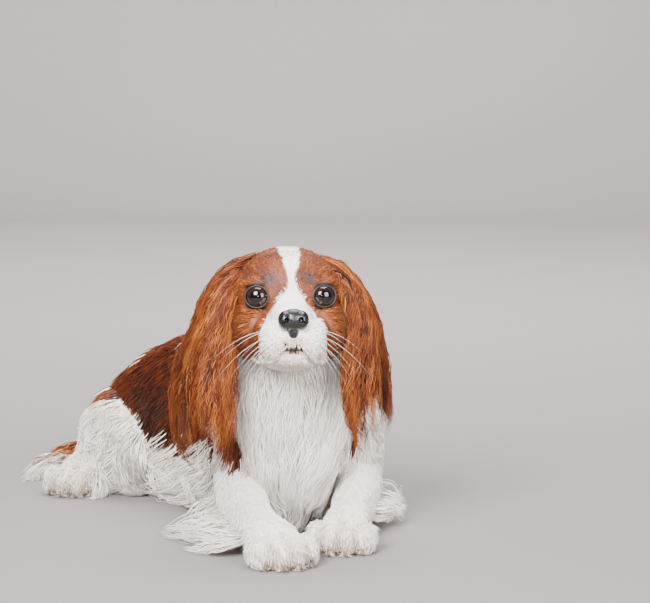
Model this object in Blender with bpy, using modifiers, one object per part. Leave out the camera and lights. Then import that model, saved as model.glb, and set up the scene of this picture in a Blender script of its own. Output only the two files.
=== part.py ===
"""A cavalier king charles spaniel at life size, lying down with its head up.

Metres, +Z up. The dog looks along -Y and its left side is at +X. Its rump lies behind it and to its
right. The solids reach out to the surface of the coat. Long hair is built as flat, tapered locks.
"""

import math
import random

import bmesh
import bpy
from mathutils import Matrix, Vector
from mathutils.bvhtree import BVHTree

# The gap that two parts keep where the body is parted, and the one that locks of hair keep.
GAP = 0.0003
PART_GAP = 0.0005

# The head, from the point midway between the eyes.
EYE_LINE_HEIGHT = 0.2137
EYE_LINE_BACK = -0.050
HEAD_YAW = math.radians(5)
HEAD_PITCH = math.radians(-6)
EYE_SPREAD = 0.0270
EYE_DEPTH = 0.0035
EYE_RADIUS = 0.0113
EYE_TURN = math.radians(14)
LID_RADIUS = 0.0092
LID_THICKNESS = 0.0017
NOSE_CENTRE = Vector((0, -0.0325, -0.0190))
NOSE_WIDTH = 0.0255

# Sides of the tubes, and how finely the forms are fused and then thinned.
SIDES = 20
REGION_SWELL = 0.004
CHEST_CUT = Vector((0, 0.035, 0.120))
CHEST_SLOPE = math.radians(62)
REGION_TRIANGLES = 160
EAR_TRIANGLES = 240
FORM_TRIANGLES = 900
FORM_GAP = 0.0006
BODY_VOXEL = 0.0045
HEAD_VOXEL = 0.0018
BODY_TRIANGLES = 2700
HEAD_TRIANGLES = 1600

WHITE = (0.86, 0.83, 0.78)
CHESTNUT = (0.36, 0.13, 0.04)
BLACK = (0.015, 0.012, 0.012)
EYE_BROWN = (0.02, 0.008, 0.005)

# Each station of a tube is (x, y, z, half width, half height).
TORSO = (
    (0.008, -0.008, 0.108, 0.026, 0.031),
    (0.006, 0.004, 0.102, 0.044, 0.049),
    (-0.002, 0.034, 0.090, 0.058, 0.075),
    (-0.024, 0.082, 0.085, 0.063, 0.086),
    (-0.056, 0.128, 0.082, 0.062, 0.086),
    (-0.090, 0.172, 0.076, 0.056, 0.079),
    (-0.119, 0.214, 0.068, 0.054, 0.070),
    (-0.142, 0.248, 0.058, 0.050, 0.057),
    (-0.160, 0.273, 0.047, 0.044, 0.045),
    (-0.173, 0.287, 0.040, 0.035, 0.034),
    (-0.182, 0.293, 0.037, 0.016, 0.018),
)
NECK = (
    (-0.012, 0.080, 0.114, 0.058, 0.065),
    (-0.008, 0.052, 0.141, 0.056, 0.061),
    (-0.003, 0.026, 0.163, 0.050, 0.054),
    (0.000, 0.008, 0.186, 0.045, 0.048),
    (0.001, 0.000, 0.204, 0.040, 0.043),
)
FORELEG_RIGHT = (
    (-0.036, 0.036, 0.112, 0.022, 0.026),
    (-0.042, 0.030, 0.088, 0.027, 0.036),
    (-0.046, 0.030, 0.057, 0.027, 0.035),
    (-0.045, 0.016, 0.035, 0.026, 0.031),
    (-0.041, -0.014, 0.026, 0.024, 0.028),
    (-0.035, -0.048, 0.024, 0.021, 0.025),
    (-0.026, -0.080, 0.020, 0.020, 0.022),
    (-0.014, -0.108, 0.018, 0.024, 0.020),
    (-0.008, -0.124, 0.015, 0.024, 0.016),
)
FORELEG_LEFT = (
    (0.044, 0.066, 0.112, 0.022, 0.026),
    (0.052, 0.060, 0.088, 0.027, 0.036),
    (0.057, 0.060, 0.057, 0.026, 0.035),
    (0.058, 0.048, 0.035, 0.025, 0.031),
    (0.057, 0.024, 0.026, 0.023, 0.028),
    (0.054, -0.006, 0.024, 0.021, 0.025),
    (0.050, -0.034, 0.020, 0.019, 0.022),
    (0.046, -0.058, 0.018, 0.022, 0.020),
    (0.044, -0.070, 0.015, 0.022, 0.016),
)
THIGH_RIGHT = (
    (-0.148, 0.262, 0.059, 0.030, 0.035),
    (-0.160, 0.240, 0.057, 0.039, 0.047),
    (-0.164, 0.208, 0.049, 0.040, 0.046),
    (-0.156, 0.178, 0.041, 0.034, 0.041),
    (-0.146, 0.158, 0.035, 0.025, 0.032),
    (-0.142, 0.150, 0.033, 0.014, 0.018),
)
FOOT_RIGHT = (
    (-0.172, 0.222, 0.030, 0.020, 0.024),
    (-0.190, 0.228, 0.024, 0.020, 0.022),
    (-0.198, 0.212, 0.020, 0.020, 0.020),
    (-0.203, 0.190, 0.018, 0.022, 0.018),
    (-0.206, 0.176, 0.015, 0.022, 0.015),
)
THIGH_LEFT = (
    (-0.142, 0.270, 0.059, 0.030, 0.035),
    (-0.118, 0.274, 0.057, 0.038, 0.047),
    (-0.096, 0.250, 0.049, 0.038, 0.046),
    (-0.078, 0.228, 0.041, 0.033, 0.041),
    (-0.068, 0.208, 0.035, 0.024, 0.032),
    (-0.066, 0.200, 0.033, 0.014, 0.018),
)
FOOT_LEFT = (
    (-0.116, 0.278, 0.030, 0.020, 0.024),
    (-0.112, 0.294, 0.024, 0.020, 0.022),
    (-0.094, 0.282, 0.020, 0.020, 0.020),
    (-0.072, 0.262, 0.018, 0.022, 0.018),
    (-0.060, 0.248, 0.015, 0.022, 0.015),
)
TAIL = (
    (-0.176, 0.276, 0.038, 0.015, 0.015),
    (-0.190, 0.289, 0.026, 0.017, 0.015),
    (-0.207, 0.291, 0.018, 0.018, 0.014),
    (-0.223, 0.284, 0.013, 0.017, 0.012),
    (-0.237, 0.270, 0.010, 0.015, 0.010),
    (-0.248, 0.252, 0.008, 0.012, 0.008),
    (-0.257, 0.236, 0.006, 0.007, 0.005),
)

# The limbs that are cut out of the body, each with its tubes.
LIMBS = {
    "foreleg_right": (FORELEG_RIGHT,),
    "foreleg_left": (FORELEG_LEFT,),
    "tail": (TAIL,),
    "hindleg_right": (THIGH_RIGHT, FOOT_RIGHT),
    "hindleg_left": (THIGH_LEFT, FOOT_LEFT),
}

# Toes: how far apart and forward of the foot's last station, and each one's half sizes.
TOE_SPREAD = (-0.0205, -0.0070, 0.0070, 0.0205)
TOE_REACH = (0.005, 0.013, 0.013, 0.005)
TOE_SIZE = (0.0105, 0.0190, 0.0155)

# The ears in the head's frame without its pitch, as they hang straight down.
EAR_RIGHT = (
    (-0.028, 0.039, 0.025, 0.010, 0.008),
    (-0.042, 0.036, 0.017, 0.013, 0.009),
    (-0.054, 0.032, 0.003, 0.016, 0.009),
    (-0.061, 0.028, -0.014, 0.020, 0.009),
    (-0.064, 0.025, -0.033, 0.024, 0.010),
    (-0.070, 0.021, -0.057, 0.031, 0.011),
    (-0.073, 0.016, -0.082, 0.035, 0.012),
    (-0.073, 0.012, -0.104, 0.035, 0.012),
    (-0.071, 0.010, -0.124, 0.032, 0.011),
    (-0.069, 0.008, -0.140, 0.025, 0.009),
    (-0.067, 0.007, -0.151, 0.012, 0.005),
)
EAR_LEFT = (
    (0.028, 0.039, 0.024, 0.010, 0.008),
    (0.042, 0.036, 0.016, 0.013, 0.009),
    (0.053, 0.033, 0.002, 0.016, 0.009),
    (0.060, 0.029, -0.014, 0.020, 0.009),
    (0.064, 0.026, -0.033, 0.026, 0.010),
    (0.065, 0.022, -0.059, 0.032, 0.011),
    (0.066, 0.019, -0.086, 0.034, 0.011),
    (0.068, 0.016, -0.110, 0.031, 0.011),
    (0.070, 0.014, -0.130, 0.024, 0.010),
    (0.072, 0.013, -0.145, 0.011, 0.005),
)
EAR_RIGHT_FACES = Vector((-0.64, -0.77, 0))
EAR_LEFT_FACES = Vector((0.77, -0.64, 0))

# The dense core of an ear: its share of the full width, thickness and length.
EAR_CORE = (0.70, 0.62, 0.62)

# The outline of the bib, from the throat down to between the forelegs.
BIB = (
    (0.000, 0.004, 0.170, 0.040, 0.036),
    (0.000, 0.004, 0.150, 0.048, 0.037),
    (0.001, 0.005, 0.122, 0.052, 0.038),
    (0.002, 0.006, 0.092, 0.050, 0.039),
    (0.003, 0.007, 0.062, 0.043, 0.038),
    (0.004, 0.009, 0.036, 0.032, 0.034),
    (0.004, 0.011, 0.014, 0.020, 0.028),
)
BIB_FACES = Vector((0, -1, 0))
UPWARD = Vector((0, 0, 1))

# Locks of hair, in rows along a tube. Each row has its tube, its count, and for its first and last
# lock where the root and the tip stand: the share of the tube's length, the turn round it in degrees
# from its right-hand side, and the distance out as a share of its half sizes. Then width and thickness.
EAR_ROWS = (
    (4, (0.18, 40, 0.50), (0.18, 140, 0.50), (0.44, 18, 1.00), (0.44, 165, 1.00), 0.017, 0.007),
    (4, (0.28, 12, 0.50), (0.28, 168, 0.50), (0.68, 6, 1.04), (0.66, 174, 1.04), 0.022, 0.007),
    (5, (0.44, 4, 0.45), (0.44, 176, 0.45), (0.88, 4, 1.06), (0.84, 178, 1.06), 0.021, 0.007),
    (4, (0.54, 20, 0.35), (0.54, 160, 0.35), (1.02, 25, 1.00), (0.97, 165, 1.10), 0.020, 0.007),
    (3, (0.48, 225, 0.40), (0.48, 315, 0.40), (0.90, 215, 0.95), (0.92, 325, 0.95), 0.022, 0.006),
)
HAIR = {
    "ear_right": tuple(("ear_right", *row) for row in EAR_ROWS),
    "ear_left": tuple(("ear_left", *row) for row in EAR_ROWS),
    "neck_and_chest": (
        ("bib", 6, (0.02, 10, 0.80), (0.02, 170, 0.80), (0.40, 8, 1.04), (0.40, 172, 1.04), 0.024, 0.008),
        ("bib", 6, (0.22, 12, 0.80), (0.22, 168, 0.80), (0.64, 14, 1.06), (0.64, 166, 1.06), 0.025, 0.008),
        ("bib", 5, (0.42, 22, 0.75), (0.42, 158, 0.75), (0.84, 28, 1.08), (0.84, 152, 1.08), 0.024, 0.008),
        ("bib", 4, (0.60, 45, 0.70), (0.60, 135, 0.70), (1.00, 55, 1.08), (1.00, 125, 1.08), 0.019, 0.007),
    ),
    "torso": (
        ("torso", 6, (0.30, 192, 0.92), (0.72, 192, 0.92),
         (0.38, 234, 1.14), (0.84, 238, 1.20), 0.030, 0.010),
        ("torso", 6, (0.36, -12, 0.92), (0.72, -12, 0.92),
         (0.44, -54, 1.14), (0.84, -58, 1.20), 0.030, 0.010),
    ),
    "foreleg_right": (
        ("foreleg_right", 6, (0.36, 345, 0.60), (0.78, 350, 0.60),
         (0.42, 340, 3.05), (0.70, 340, 2.60), 0.018, 0.005),
        ("foreleg_right", 2, (0.20, 320, 0.60), (0.32, 280, 0.60),
         (0.38, 320, 1.60), (0.44, 300, 1.50), 0.018, 0.007),
    ),
    "foreleg_left": (
        ("foreleg_left", 4, (0.34, 195, 0.60), (0.64, 190, 0.60),
         (0.27, 197, 1.80), (0.54, 197, 1.60), 0.018, 0.005),
        ("foreleg_left", 2, (0.20, 220, 0.60), (0.32, 260, 0.60),
         (0.38, 220, 1.60), (0.44, 240, 1.50), 0.018, 0.007),
    ),
    "hindleg_right": (
        ("thigh_right", 4, (0.05, 352, 0.80), (0.62, 350, 0.75),
         (-0.04, 312, 1.34), (0.76, 306, 1.34), 0.028, 0.009),
        ("foot_right", 2, (0.25, 20, 0.60), (0.60, 10, 0.60),
         (-0.05, 335, 1.60), (0.40, 335, 1.60), 0.016, 0.006),
    ),
    "hindleg_left": (
        ("thigh_left", 3, (0.20, 188, 0.80), (0.62, 190, 0.75),
         (0.10, 228, 1.34), (0.76, 234, 1.34), 0.028, 0.009),
        ("foot_left", 2, (0.25, 160, 0.60), (0.60, 170, 0.60),
         (-0.05, 205, 1.60), (0.40, 205, 1.60), 0.016, 0.006),
    ),
    "tail": (
        ("tail", 3, (0.26, 5, 0.50), (0.68, 5, 0.50), (0.60, 348, 1.50), (1.10, 350, 1.80), 0.018, 0.006),
        ("tail", 2, (0.50, 175, 0.50), (0.68, 175, 0.50),
         (0.86, 190, 1.80), (1.08, 190, 2.20), 0.016, 0.006),
        ("tail", 2, (0.15, 95, 0.50), (0.50, 90, 0.50), (0.60, 85, 1.02), (0.98, 90, 1.10), 0.022, 0.007),
        ("tail", 2, (0.66, 60, 0.30), (0.66, 140, 0.30), (1.24, 40, 0.90), (1.20, 160, 0.90), 0.012, 0.005),
    ),
}
# About how many triangles each node keeps once its locks are joined to it.
HAIR_TRIANGLES = {
    "ear_right": 1350,
    "ear_left": 1350,
    "neck_and_chest": 1450,
    "torso": 1900,
    "foreleg_right": 1150,
    "foreleg_left": 1000,
    "hindleg_right": 1150,
    "hindleg_left": 1000,
    "tail": 750,
}

# What the locks of a node are bent round, and what each finished node is cut clear of.
NEIGHBOURS = {
    "ear_right": ("head", "neck_and_chest", "torso", "foreleg_right"),
    "ear_left": ("head", "neck_and_chest", "torso", "foreleg_left"),
    "neck_and_chest": ("head", "foreleg_right", "foreleg_left"),
    "torso": ("hindleg_right", "hindleg_left", "foreleg_right", "foreleg_left"),
    "foreleg_right": ("torso", "neck_and_chest"),
    "foreleg_left": ("torso", "neck_and_chest"),
    "hindleg_right": ("torso", "tail"),
    "hindleg_left": ("torso", "tail"),
    "tail": ("hindleg_right", "hindleg_left", "torso"),
}
YIELDS_TO = {
    "neck_and_chest": (),
    "torso": ("neck_and_chest",),
    "foreleg_right": ("neck_and_chest", "torso"),
    "foreleg_left": ("neck_and_chest", "torso", "foreleg_right"),
    "hindleg_right": ("torso",),
    "hindleg_left": ("torso", "hindleg_right"),
    "tail": ("torso", "hindleg_right", "hindleg_left"),
    "ear_right": ("neck_and_chest", "torso", "foreleg_right"),
    "ear_left": ("neck_and_chest", "torso", "foreleg_left"),
}
TOUCHES_HEAD = ("neck_and_chest", "ear_right", "ear_left")
LOCK_RINGS = 4
LOCK_SWELL = (0.70, 1.00, 0.92, 0.58)
LOCK_WAVE = 5.0
BEND_REACH = 0.014
HAIR_SEED = 67

# The head's masses in its own frame: centre, half sizes, and whether a mirrored one stands beside it.
HEAD_MASSES = (
    ((0, 0.040, 0.002), (0.050, 0.052, 0.0425), False),
    ((0, 0.017, 0.013), (0.041, 0.026, 0.0275), False),
    ((0.030, 0.022, -0.026), (0.021, 0.032, 0.028), True),
    ((0, 0.020, -0.036), (0.034, 0.038, 0.024), False),
    ((0, -0.006, -0.0185), (0.021, 0.027, 0.0165), False),
    ((0, -0.014, -0.034), (0.026, 0.022, 0.020), False),
    ((0.0145, -0.019, -0.037), (0.0165, 0.0175, 0.0195), True),
    ((0.0230, -0.006, -0.036), (0.0120, 0.0200, 0.0200), True),
    ((0.0230, 0.006, 0.0125), (0.018, 0.0125, 0.0100), True),
)
JAW_MASSES = (
    ((0, -0.017, -0.053), (0.016, 0.0165, 0.0085), False),
    ((0, 0.004, -0.052), (0.026, 0.026, 0.012), False),
)

# Points near the line of the mouth, in the head's frame, from the middle to one corner.
MOUTH_LINE = (
    (0.0, -0.036, -0.0410),
    (0.0050, -0.036, -0.0430),
    (0.0105, -0.034, -0.0475),
    (0.0155, -0.030, -0.0535),
    (0.0215, -0.020, -0.0570),
    (0.0275, -0.008, -0.0575),
    (0.0310, 0.006, -0.0540),
)
MOUTH_RADIUS = 0.0011
PHILTRUM_TOP = -0.0330


def clear_scene():
    for obj in list(bpy.data.objects):
        bpy.data.objects.remove(obj, do_unlink=True)


def new_collection(name):
    made = bpy.data.collections.new(name)
    bpy.context.scene.collection.children.link(made)
    return made


def put_in(collection, obj):
    for old in list(obj.users_collection):
        old.objects.unlink(obj)
    collection.objects.link(obj)
    return obj


def paint(obj, name, colour, roughness):
    material = bpy.data.materials.get(name) or bpy.data.materials.new(name)
    material.use_nodes = True
    surface = material.node_tree.nodes["Principled BSDF"]
    surface.inputs["Base Color"].default_value = (*colour, 1)
    surface.inputs["Roughness"].default_value = roughness
    surface.inputs["Metallic"].default_value = 0
    obj.data.materials.clear()
    obj.data.materials.append(material)


def object_from(name, bm):
    bmesh.ops.recalc_face_normals(bm, faces=bm.faces)
    mesh = bpy.data.meshes.new(name)
    bm.to_mesh(mesh)
    bm.free()
    obj = bpy.data.objects.new(name, mesh)
    bpy.context.scene.collection.objects.link(obj)
    return obj


def ball(centre, sizes, segments=32, rings=20):
    """A closed oval, with its half sizes along X, Y and Z."""
    bm = bmesh.new()
    placed = Matrix.Translation(centre) @ Matrix.Diagonal((*sizes, 1))
    bmesh.ops.create_uvsphere(bm, u_segments=segments, v_segments=rings, radius=1, matrix=placed)
    return object_from("ball", bm)


def tube(stations, up=Vector((0, 0, 1)), grow=0.0, sides=SIDES):
    """A closed body lofted through oval sections, each set square to the line of their centres."""
    centres = [Vector(station[:3]) for station in stations]
    start_out = (centres[0] - centres[1]).normalized() * grow
    end_out = (centres[-1] - centres[-2]).normalized() * grow
    bm = bmesh.new()
    rings = []
    last = len(stations) - 1
    for i, (_, _, _, half_width, half_height) in enumerate(stations):
        ahead = centres[min(i + 1, last)] - centres[max(i - 1, 0)]
        across = ahead.cross(up).normalized()
        rise = across.cross(ahead).normalized()
        centre = centres[i] + (start_out if i == 0 else end_out if i == last else Vector())
        rings.append([
            bm.verts.new(
                centre
                + across * math.cos(math.tau * k / sides) * (half_width + grow)
                + rise * math.sin(math.tau * k / sides) * (half_height + grow)
            )
            for k in range(sides)
        ])
    for low, high in zip(rings, rings[1:]):
        for k in range(sides):
            after = (k + 1) % sides
            bm.faces.new((low[k], low[after], high[after], high[k]))
    bm.faces.new(rings[0][::-1])
    bm.faces.new(rings[-1])
    bmesh.ops.triangulate(bm, faces=bm.faces, quad_method="FIXED")
    return object_from("tube", bm)


def spot_on(guide, along, turn, out):
    """A point on a tube, and the direction that faces out from the tube there."""
    stations, up = guide
    spot = along * (len(stations) - 1)
    low = max(0, min(int(spot), len(stations) - 2))
    before, after = stations[low], stations[low + 1]
    x, y, z, half_width, half_height = (a + (b - a) * (spot - low) for a, b in zip(before, after))
    ahead = Vector(after[:3]) - Vector(before[:3])
    across = ahead.cross(up).normalized()
    rise = across.cross(ahead).normalized()
    angle = math.radians(turn)
    reach = across * math.cos(angle) * max(half_width, 0.004)
    reach += rise * math.sin(angle) * max(half_height, 0.004)
    return Vector((x, y, z)) + reach * out, reach.normalized()


def lock(path, facing, width, thickness):
    """A flat, tapered lock of hair with sharp edges, from its root along its path to its tip."""
    bm = bmesh.new()
    rings = []
    for i in range(LOCK_RINGS):
        ahead = (path[i + 1] - path[max(i - 1, 0)]).normalized()
        across = ahead.cross(facing[i]).normalized() * width / 2 * LOCK_SWELL[i]
        rise = across.cross(ahead).normalized() * thickness / 2 * LOCK_SWELL[i]
        rings.append([bm.verts.new(path[i] + offset) for offset in (across, rise, -across, -rise)])
    for low, high in zip(rings, rings[1:]):
        for k in range(4):
            bm.faces.new((low[k], low[(k + 1) % 4], high[(k + 1) % 4], high[k]))
    tip = bm.verts.new(path[-1])
    for k in range(4):
        bm.faces.new((rings[-1][k], rings[-1][(k + 1) % 4], tip))
    bm.faces.new(rings[0][::-1])
    bmesh.ops.triangulate(bm, faces=bm.faces, quad_method="FIXED")
    return object_from("lock", bm)


def surface_of(obj):
    bm = bmesh.new()
    bm.from_mesh(obj.data)
    tree = BVHTree.FromBMesh(bm)
    bm.free()
    return tree


def bent_clear(point, neighbours, clearance):
    """The point, moved out of any neighbour that it lies in or too near to."""
    for tree in neighbours:
        nearest, normal, _, distance = tree.find_nearest(point)
        if distance < BEND_REACH and (point - nearest).dot(normal) < clearance:
            point = nearest + normal * clearance
    return point


def grow_locks(rows, guides, neighbours, dice):
    """The locks of one node, each from inside the core out to its tip, clear of the floor."""
    locks = []
    for name, count, root_a, root_b, tip_a, tip_b, width, thickness in rows:
        for i in range(count):
            share = i / max(count - 1, 1)
            root = [a + (b - a) * share for a, b in zip(root_a, root_b)]
            tip = [a + (b - a) * share for a, b in zip(tip_a, tip_b)]
            tip[0] += dice.uniform(-0.035, 0.035)
            wave = LOCK_WAVE * dice.choice((-1, 1))
            path = []
            facing = []
            for k in range(LOCK_RINGS + 1):
                f = k / LOCK_RINGS
                along = root[0] + (tip[0] - root[0]) * f
                turn = root[1] + (tip[1] - root[1]) * f + wave * math.sin(math.tau * f)
                turn += dice.uniform(-3, 3)
                out = root[2] + (tip[2] - root[2]) * f**0.6
                point, outward = spot_on(guides[name], along, turn, out)
                if k:
                    point = bent_clear(point, neighbours, thickness * dice.uniform(0.55, 0.80))
                near_floor = max(0.0, 1 - point.z / 0.010)
                point.z = max(point.z, thickness * 0.35)
                path.append(point)
                facing.append((outward + UPWARD * 3 * near_floor).normalized())
            locks.append(lock(path, facing, width, thickness))
    return locks


def unite(obj, pieces, triangles):
    """Joins the pieces to obj by one union on the collection that holds them, then thins the whole.

    MANIFOLD stands in for EXACT here and in boolean(), as EXACT is slow on forms as dense as these.
    """
    gathered = bpy.data.collections.new("pieces")
    for piece in pieces:
        put_in(gathered, piece)
    modifier = obj.modifiers.new("union", "BOOLEAN")
    modifier.operation = "UNION"
    modifier.solver = "MANIFOLD"
    modifier.operand_type = "COLLECTION"
    modifier.collection = gathered
    apply_modifiers(obj)
    for piece in pieces:
        bpy.data.objects.remove(piece)
    bpy.data.collections.remove(gathered)
    keep_largest(obj)
    return thinned(obj, triangles)


def apply_modifiers(obj):
    graph = bpy.context.evaluated_depsgraph_get()
    mesh = bpy.data.meshes.new_from_object(obj.evaluated_get(graph))
    obj.modifiers.clear()
    obj.data = mesh
    return obj


def join(name, pieces):
    """One object that holds the meshes of the pieces, still overlapping."""
    bm = bmesh.new()
    for piece in pieces:
        bm.from_mesh(piece.data)
        bpy.data.objects.remove(piece)
    mesh = bpy.data.meshes.new(name)
    bm.to_mesh(mesh)
    bm.free()
    obj = bpy.data.objects.new(name, mesh)
    bpy.context.scene.collection.objects.link(obj)
    return obj


def fuse(name, pieces, voxel, smoothing, triangles):
    """Overlapping masses made one soft closed surface, thinned to about that many triangles."""
    whole = join(name, pieces)
    remesh = whole.modifiers.new("fused", "REMESH")
    remesh.mode = "VOXEL"
    remesh.voxel_size = voxel
    soft = whole.modifiers.new("soft", "SMOOTH")
    soft.factor = 0.5
    soft.iterations = smoothing
    return thinned(apply_modifiers(whole), triangles)


def is_closed(mesh):
    """Whether every edge has two faces, also once points that all but touch are taken as one."""
    bm = bmesh.new()
    bm.from_mesh(mesh)
    closed = all(len(edge.link_faces) == 2 for edge in bm.edges)
    bmesh.ops.remove_doubles(bm, verts=bm.verts, dist=0.000001)
    closed = closed and all(len(edge.link_faces) == 2 for edge in bm.edges)
    bm.free()
    return closed


def thinned(obj, triangles):
    """Collapses the edges that matter least, and stops short of what would open the surface."""
    now = sum(len(face.vertices) - 2 for face in obj.data.polygons)
    full = obj.data
    for step in range(16):
        modifier = obj.modifiers.new("thinned", "DECIMATE")
        modifier.ratio = min(1.0, (1 + 0.03 * step) * triangles / now)
        apply_modifiers(obj)
        if is_closed(obj.data):
            return obj
        obj.data = full
    return obj


def keep_largest(obj):
    """Drops every loose scrap and keeps the largest closed surface."""
    bm = bmesh.new()
    bm.from_mesh(obj.data)
    left = set(bm.verts)
    groups = []
    while left:
        stack = [left.pop()]
        group = set(stack)
        while stack:
            for edge in stack.pop().link_edges:
                for vert in edge.verts:
                    if vert in left:
                        left.discard(vert)
                        group.add(vert)
                        stack.append(vert)
        groups.append(group)
    largest = max(groups, key=len)
    scraps = [vert for group in groups if group is not largest for vert in group]
    bmesh.ops.delete(bm, geom=scraps, context="VERTS")
    bm.to_mesh(obj.data)
    bm.free()
    return obj


def boolean(obj, other, operation, keep_other=False):
    """Cuts obj by other, or joins them, and applies it."""
    modifier = obj.modifiers.new(operation.lower(), "BOOLEAN")
    modifier.operation = operation
    modifier.solver = "MANIFOLD"
    modifier.object = other
    apply_modifiers(obj)
    if not keep_other:
        bpy.data.objects.remove(other)
    return keep_largest(obj)


def copy_of(obj, name):
    made = bpy.data.objects.new(name, obj.data.copy())
    bpy.context.scene.collection.objects.link(made)
    return made


def swollen(obj, by):
    """A copy whose surface stands out by that distance, to cut a neighbour clear of obj."""
    made = copy_of(obj, "swollen")
    push = made.modifiers.new("push", "DISPLACE")
    push.mid_level = 0
    push.strength = by
    return apply_modifiers(made)


def clear_of(obj, *others, by=GAP):
    """Cuts obj clear of the others by that gap, also where the swollen copy folds over itself."""
    for other in others:
        boolean(obj, swollen(other, by), "DIFFERENCE")
        boolean(obj, other, "DIFFERENCE", keep_other=True)
    return obj


def on_floor(obj):
    """Cuts off what lies below the floor, which leaves small flats at one level."""
    bpy.ops.mesh.primitive_cube_add(size=2, location=(0, 0, -1))
    return boolean(obj, bpy.context.object, "DIFFERENCE")


def mirrored(point):
    return (-point[0], point[1], point[2])


def masses(rows):
    pieces = []
    for centre, sizes, paired in rows:
        pieces.append(ball(centre, sizes))
        if paired:
            pieces.append(ball(mirrored(centre), sizes))
    return pieces


def head_frame(pitched=True):
    placed = Matrix.Translation((0, EYE_LINE_BACK, EYE_LINE_HEIGHT)) @ Matrix.Rotation(HEAD_YAW, 4, "Z")
    return placed @ Matrix.Rotation(HEAD_PITCH, 4, "X") if pitched else placed


def eye_centre(side):
    return Vector((side * EYE_SPREAD, EYE_DEPTH, 0))


def eye_gaze(side):
    return Vector((side * math.sin(EYE_TURN), -math.cos(EYE_TURN), 0))


def eye(side):
    made = ball(eye_centre(side), (EYE_RADIUS,) * 3, segments=16, rings=10)
    made.data.transform(head_frame())
    return made


def lid_ring(side):
    """The rims of the upper and lower lid, as one ring round the opening."""
    out = math.sqrt(EYE_RADIUS**2 - (LID_RADIUS - LID_THICKNESS / 2) ** 2)
    centre = eye_centre(side) + eye_gaze(side) * (out + LID_THICKNESS * 0.1)
    bpy.ops.mesh.primitive_torus_add(
        major_radius=LID_RADIUS, minor_radius=LID_THICKNESS, major_segments=16, minor_segments=6
    )
    ring = bpy.context.object
    placed = Matrix.Translation(centre) @ eye_gaze(side).to_track_quat("Z", "Y").to_matrix().to_4x4()
    ring.data.transform(placed @ Matrix.Diagonal((1.02, 0.96, 1, 1)))
    return ring


def nose():
    """The leather of the nose, with its two wings and the strip that runs down to the lip."""
    x, y, z = NOSE_CENTRE
    half = NOSE_WIDTH / 2
    rows = (
        ((x, y, z), (half - 0.0015, 0.0085, 0.0095), False),
        ((half * 0.56, y - 0.0015, z - 0.0005), (half * 0.46, 0.0080, 0.0082), True),
        ((x, y + 0.0030, z - 0.0100), (0.0034, 0.0060, 0.0060), False),
    )
    return fuse("nose", masses(rows), 0.0011, 3, 260)


def nostrils():
    x, y, z = NOSE_CENTRE
    cutters = []
    for side in (-1, 1):
        hole = ball((side * 0.0058, y - 0.0095, z - 0.0003), (0.0023, 0.0050, 0.0028), 10, 6)
        slit = ball((side * 0.0092, y - 0.0072, z - 0.0022), (0.0030, 0.0034, 0.0011), 8, 6)
        cutters += [hole, slit]
    return cutters


def mouth_grooves(head):
    """Thin rods that run along the line of the mouth and the split of the upper lip."""
    bm = bmesh.new()
    bm.from_mesh(head.data)
    tree = BVHTree.FromBMesh(bm)
    bm.free()
    lines = [[(side * x, y, z) for x, y, z in MOUTH_LINE] for side in (-1, 1)]
    middle = MOUTH_LINE[0]
    lines.append([(0, middle[1], z) for z in (PHILTRUM_TOP, (PHILTRUM_TOP + middle[2]) / 2, middle[2])])
    rods = []
    for line in lines:
        hits = [tree.find_nearest(Vector(point))[0] for point in line]
        stations = [(*hit, MOUTH_RADIUS, MOUTH_RADIUS) for hit in hits]
        rods.append(tube(stations, up=Vector((0, 1, 0.1)), sides=6))
    return rods


def build_head():
    upper = fuse("head", masses(HEAD_MASSES), HEAD_VOXEL, 5, HEAD_TRIANGLES)
    jaw = fuse("jaw", masses(JAW_MASSES), HEAD_VOXEL, 2, 260)
    boolean(upper, jaw, "UNION")
    form = thinned(copy_of(upper, "form"), FORM_TRIANGLES)
    for rod in mouth_grooves(upper):
        boolean(upper, rod, "DIFFERENCE")
    for side in (-1, 1):
        boolean(upper, lid_ring(side), "UNION")
    for side in (-1, 1):
        socket = ball(eye_centre(side), (EYE_RADIUS + GAP,) * 3, segments=16, rings=10)
        boolean(upper, socket, "DIFFERENCE")
    leather = nose()
    boolean(upper, swollen(leather, GAP * 1.4), "DIFFERENCE")
    for part in (upper, form):
        part.data.transform(head_frame())
    for cutter in nostrils():
        boolean(leather, cutter, "DIFFERENCE")
    leather.data.transform(head_frame())
    return upper, leather, form


def toes(stations):
    """Four toes in front of the last station of a foot."""
    end = Vector(stations[-1][:3])
    ahead = (end - Vector(stations[-2][:3])).normalized()
    turn = math.atan2(ahead.y, ahead.x) + math.pi / 2
    placed = Matrix.Translation((end.x, end.y, 0)) @ Matrix.Rotation(turn, 4, "Z")
    pieces = []
    for spread, reach in zip(TOE_SPREAD, TOE_REACH):
        toe = ball((spread, -reach, TOE_SIZE[2] - 0.0040), TOE_SIZE)
        toe.data.transform(placed)
        pieces.append(toe)
    return pieces


def build_body():
    """The whole body but the head, as one soft form, before it is parted."""
    pieces = [tube(TORSO), tube(NECK)]
    pieces += [tube(stations) for tubes in LIMBS.values() for stations in tubes]
    for foot in (FORELEG_RIGHT, FORELEG_LEFT, FOOT_RIGHT, FOOT_LEFT):
        pieces += toes(foot)
    return fuse("torso", pieces, BODY_VOXEL, 4, BODY_TRIANGLES)


def region(name):
    """A fat closed form round one limb, which takes that limb out of the whole body."""
    if name == "neck_and_chest":
        bpy.ops.mesh.primitive_cube_add(size=0.4)
        block = bpy.context.object
        slope = Matrix.Rotation(CHEST_SLOPE, 4, "X")
        block.data.transform(Matrix.Translation(CHEST_CUT) @ slope @ Matrix.Translation((0, 0, 0.2)))
        return block
    pieces = [tube(lengthened(stations, 0.030), grow=REGION_SWELL) for stations in LIMBS[name]]
    return fuse("region", pieces, BODY_VOXEL, 1, REGION_TRIANGLES)


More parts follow.
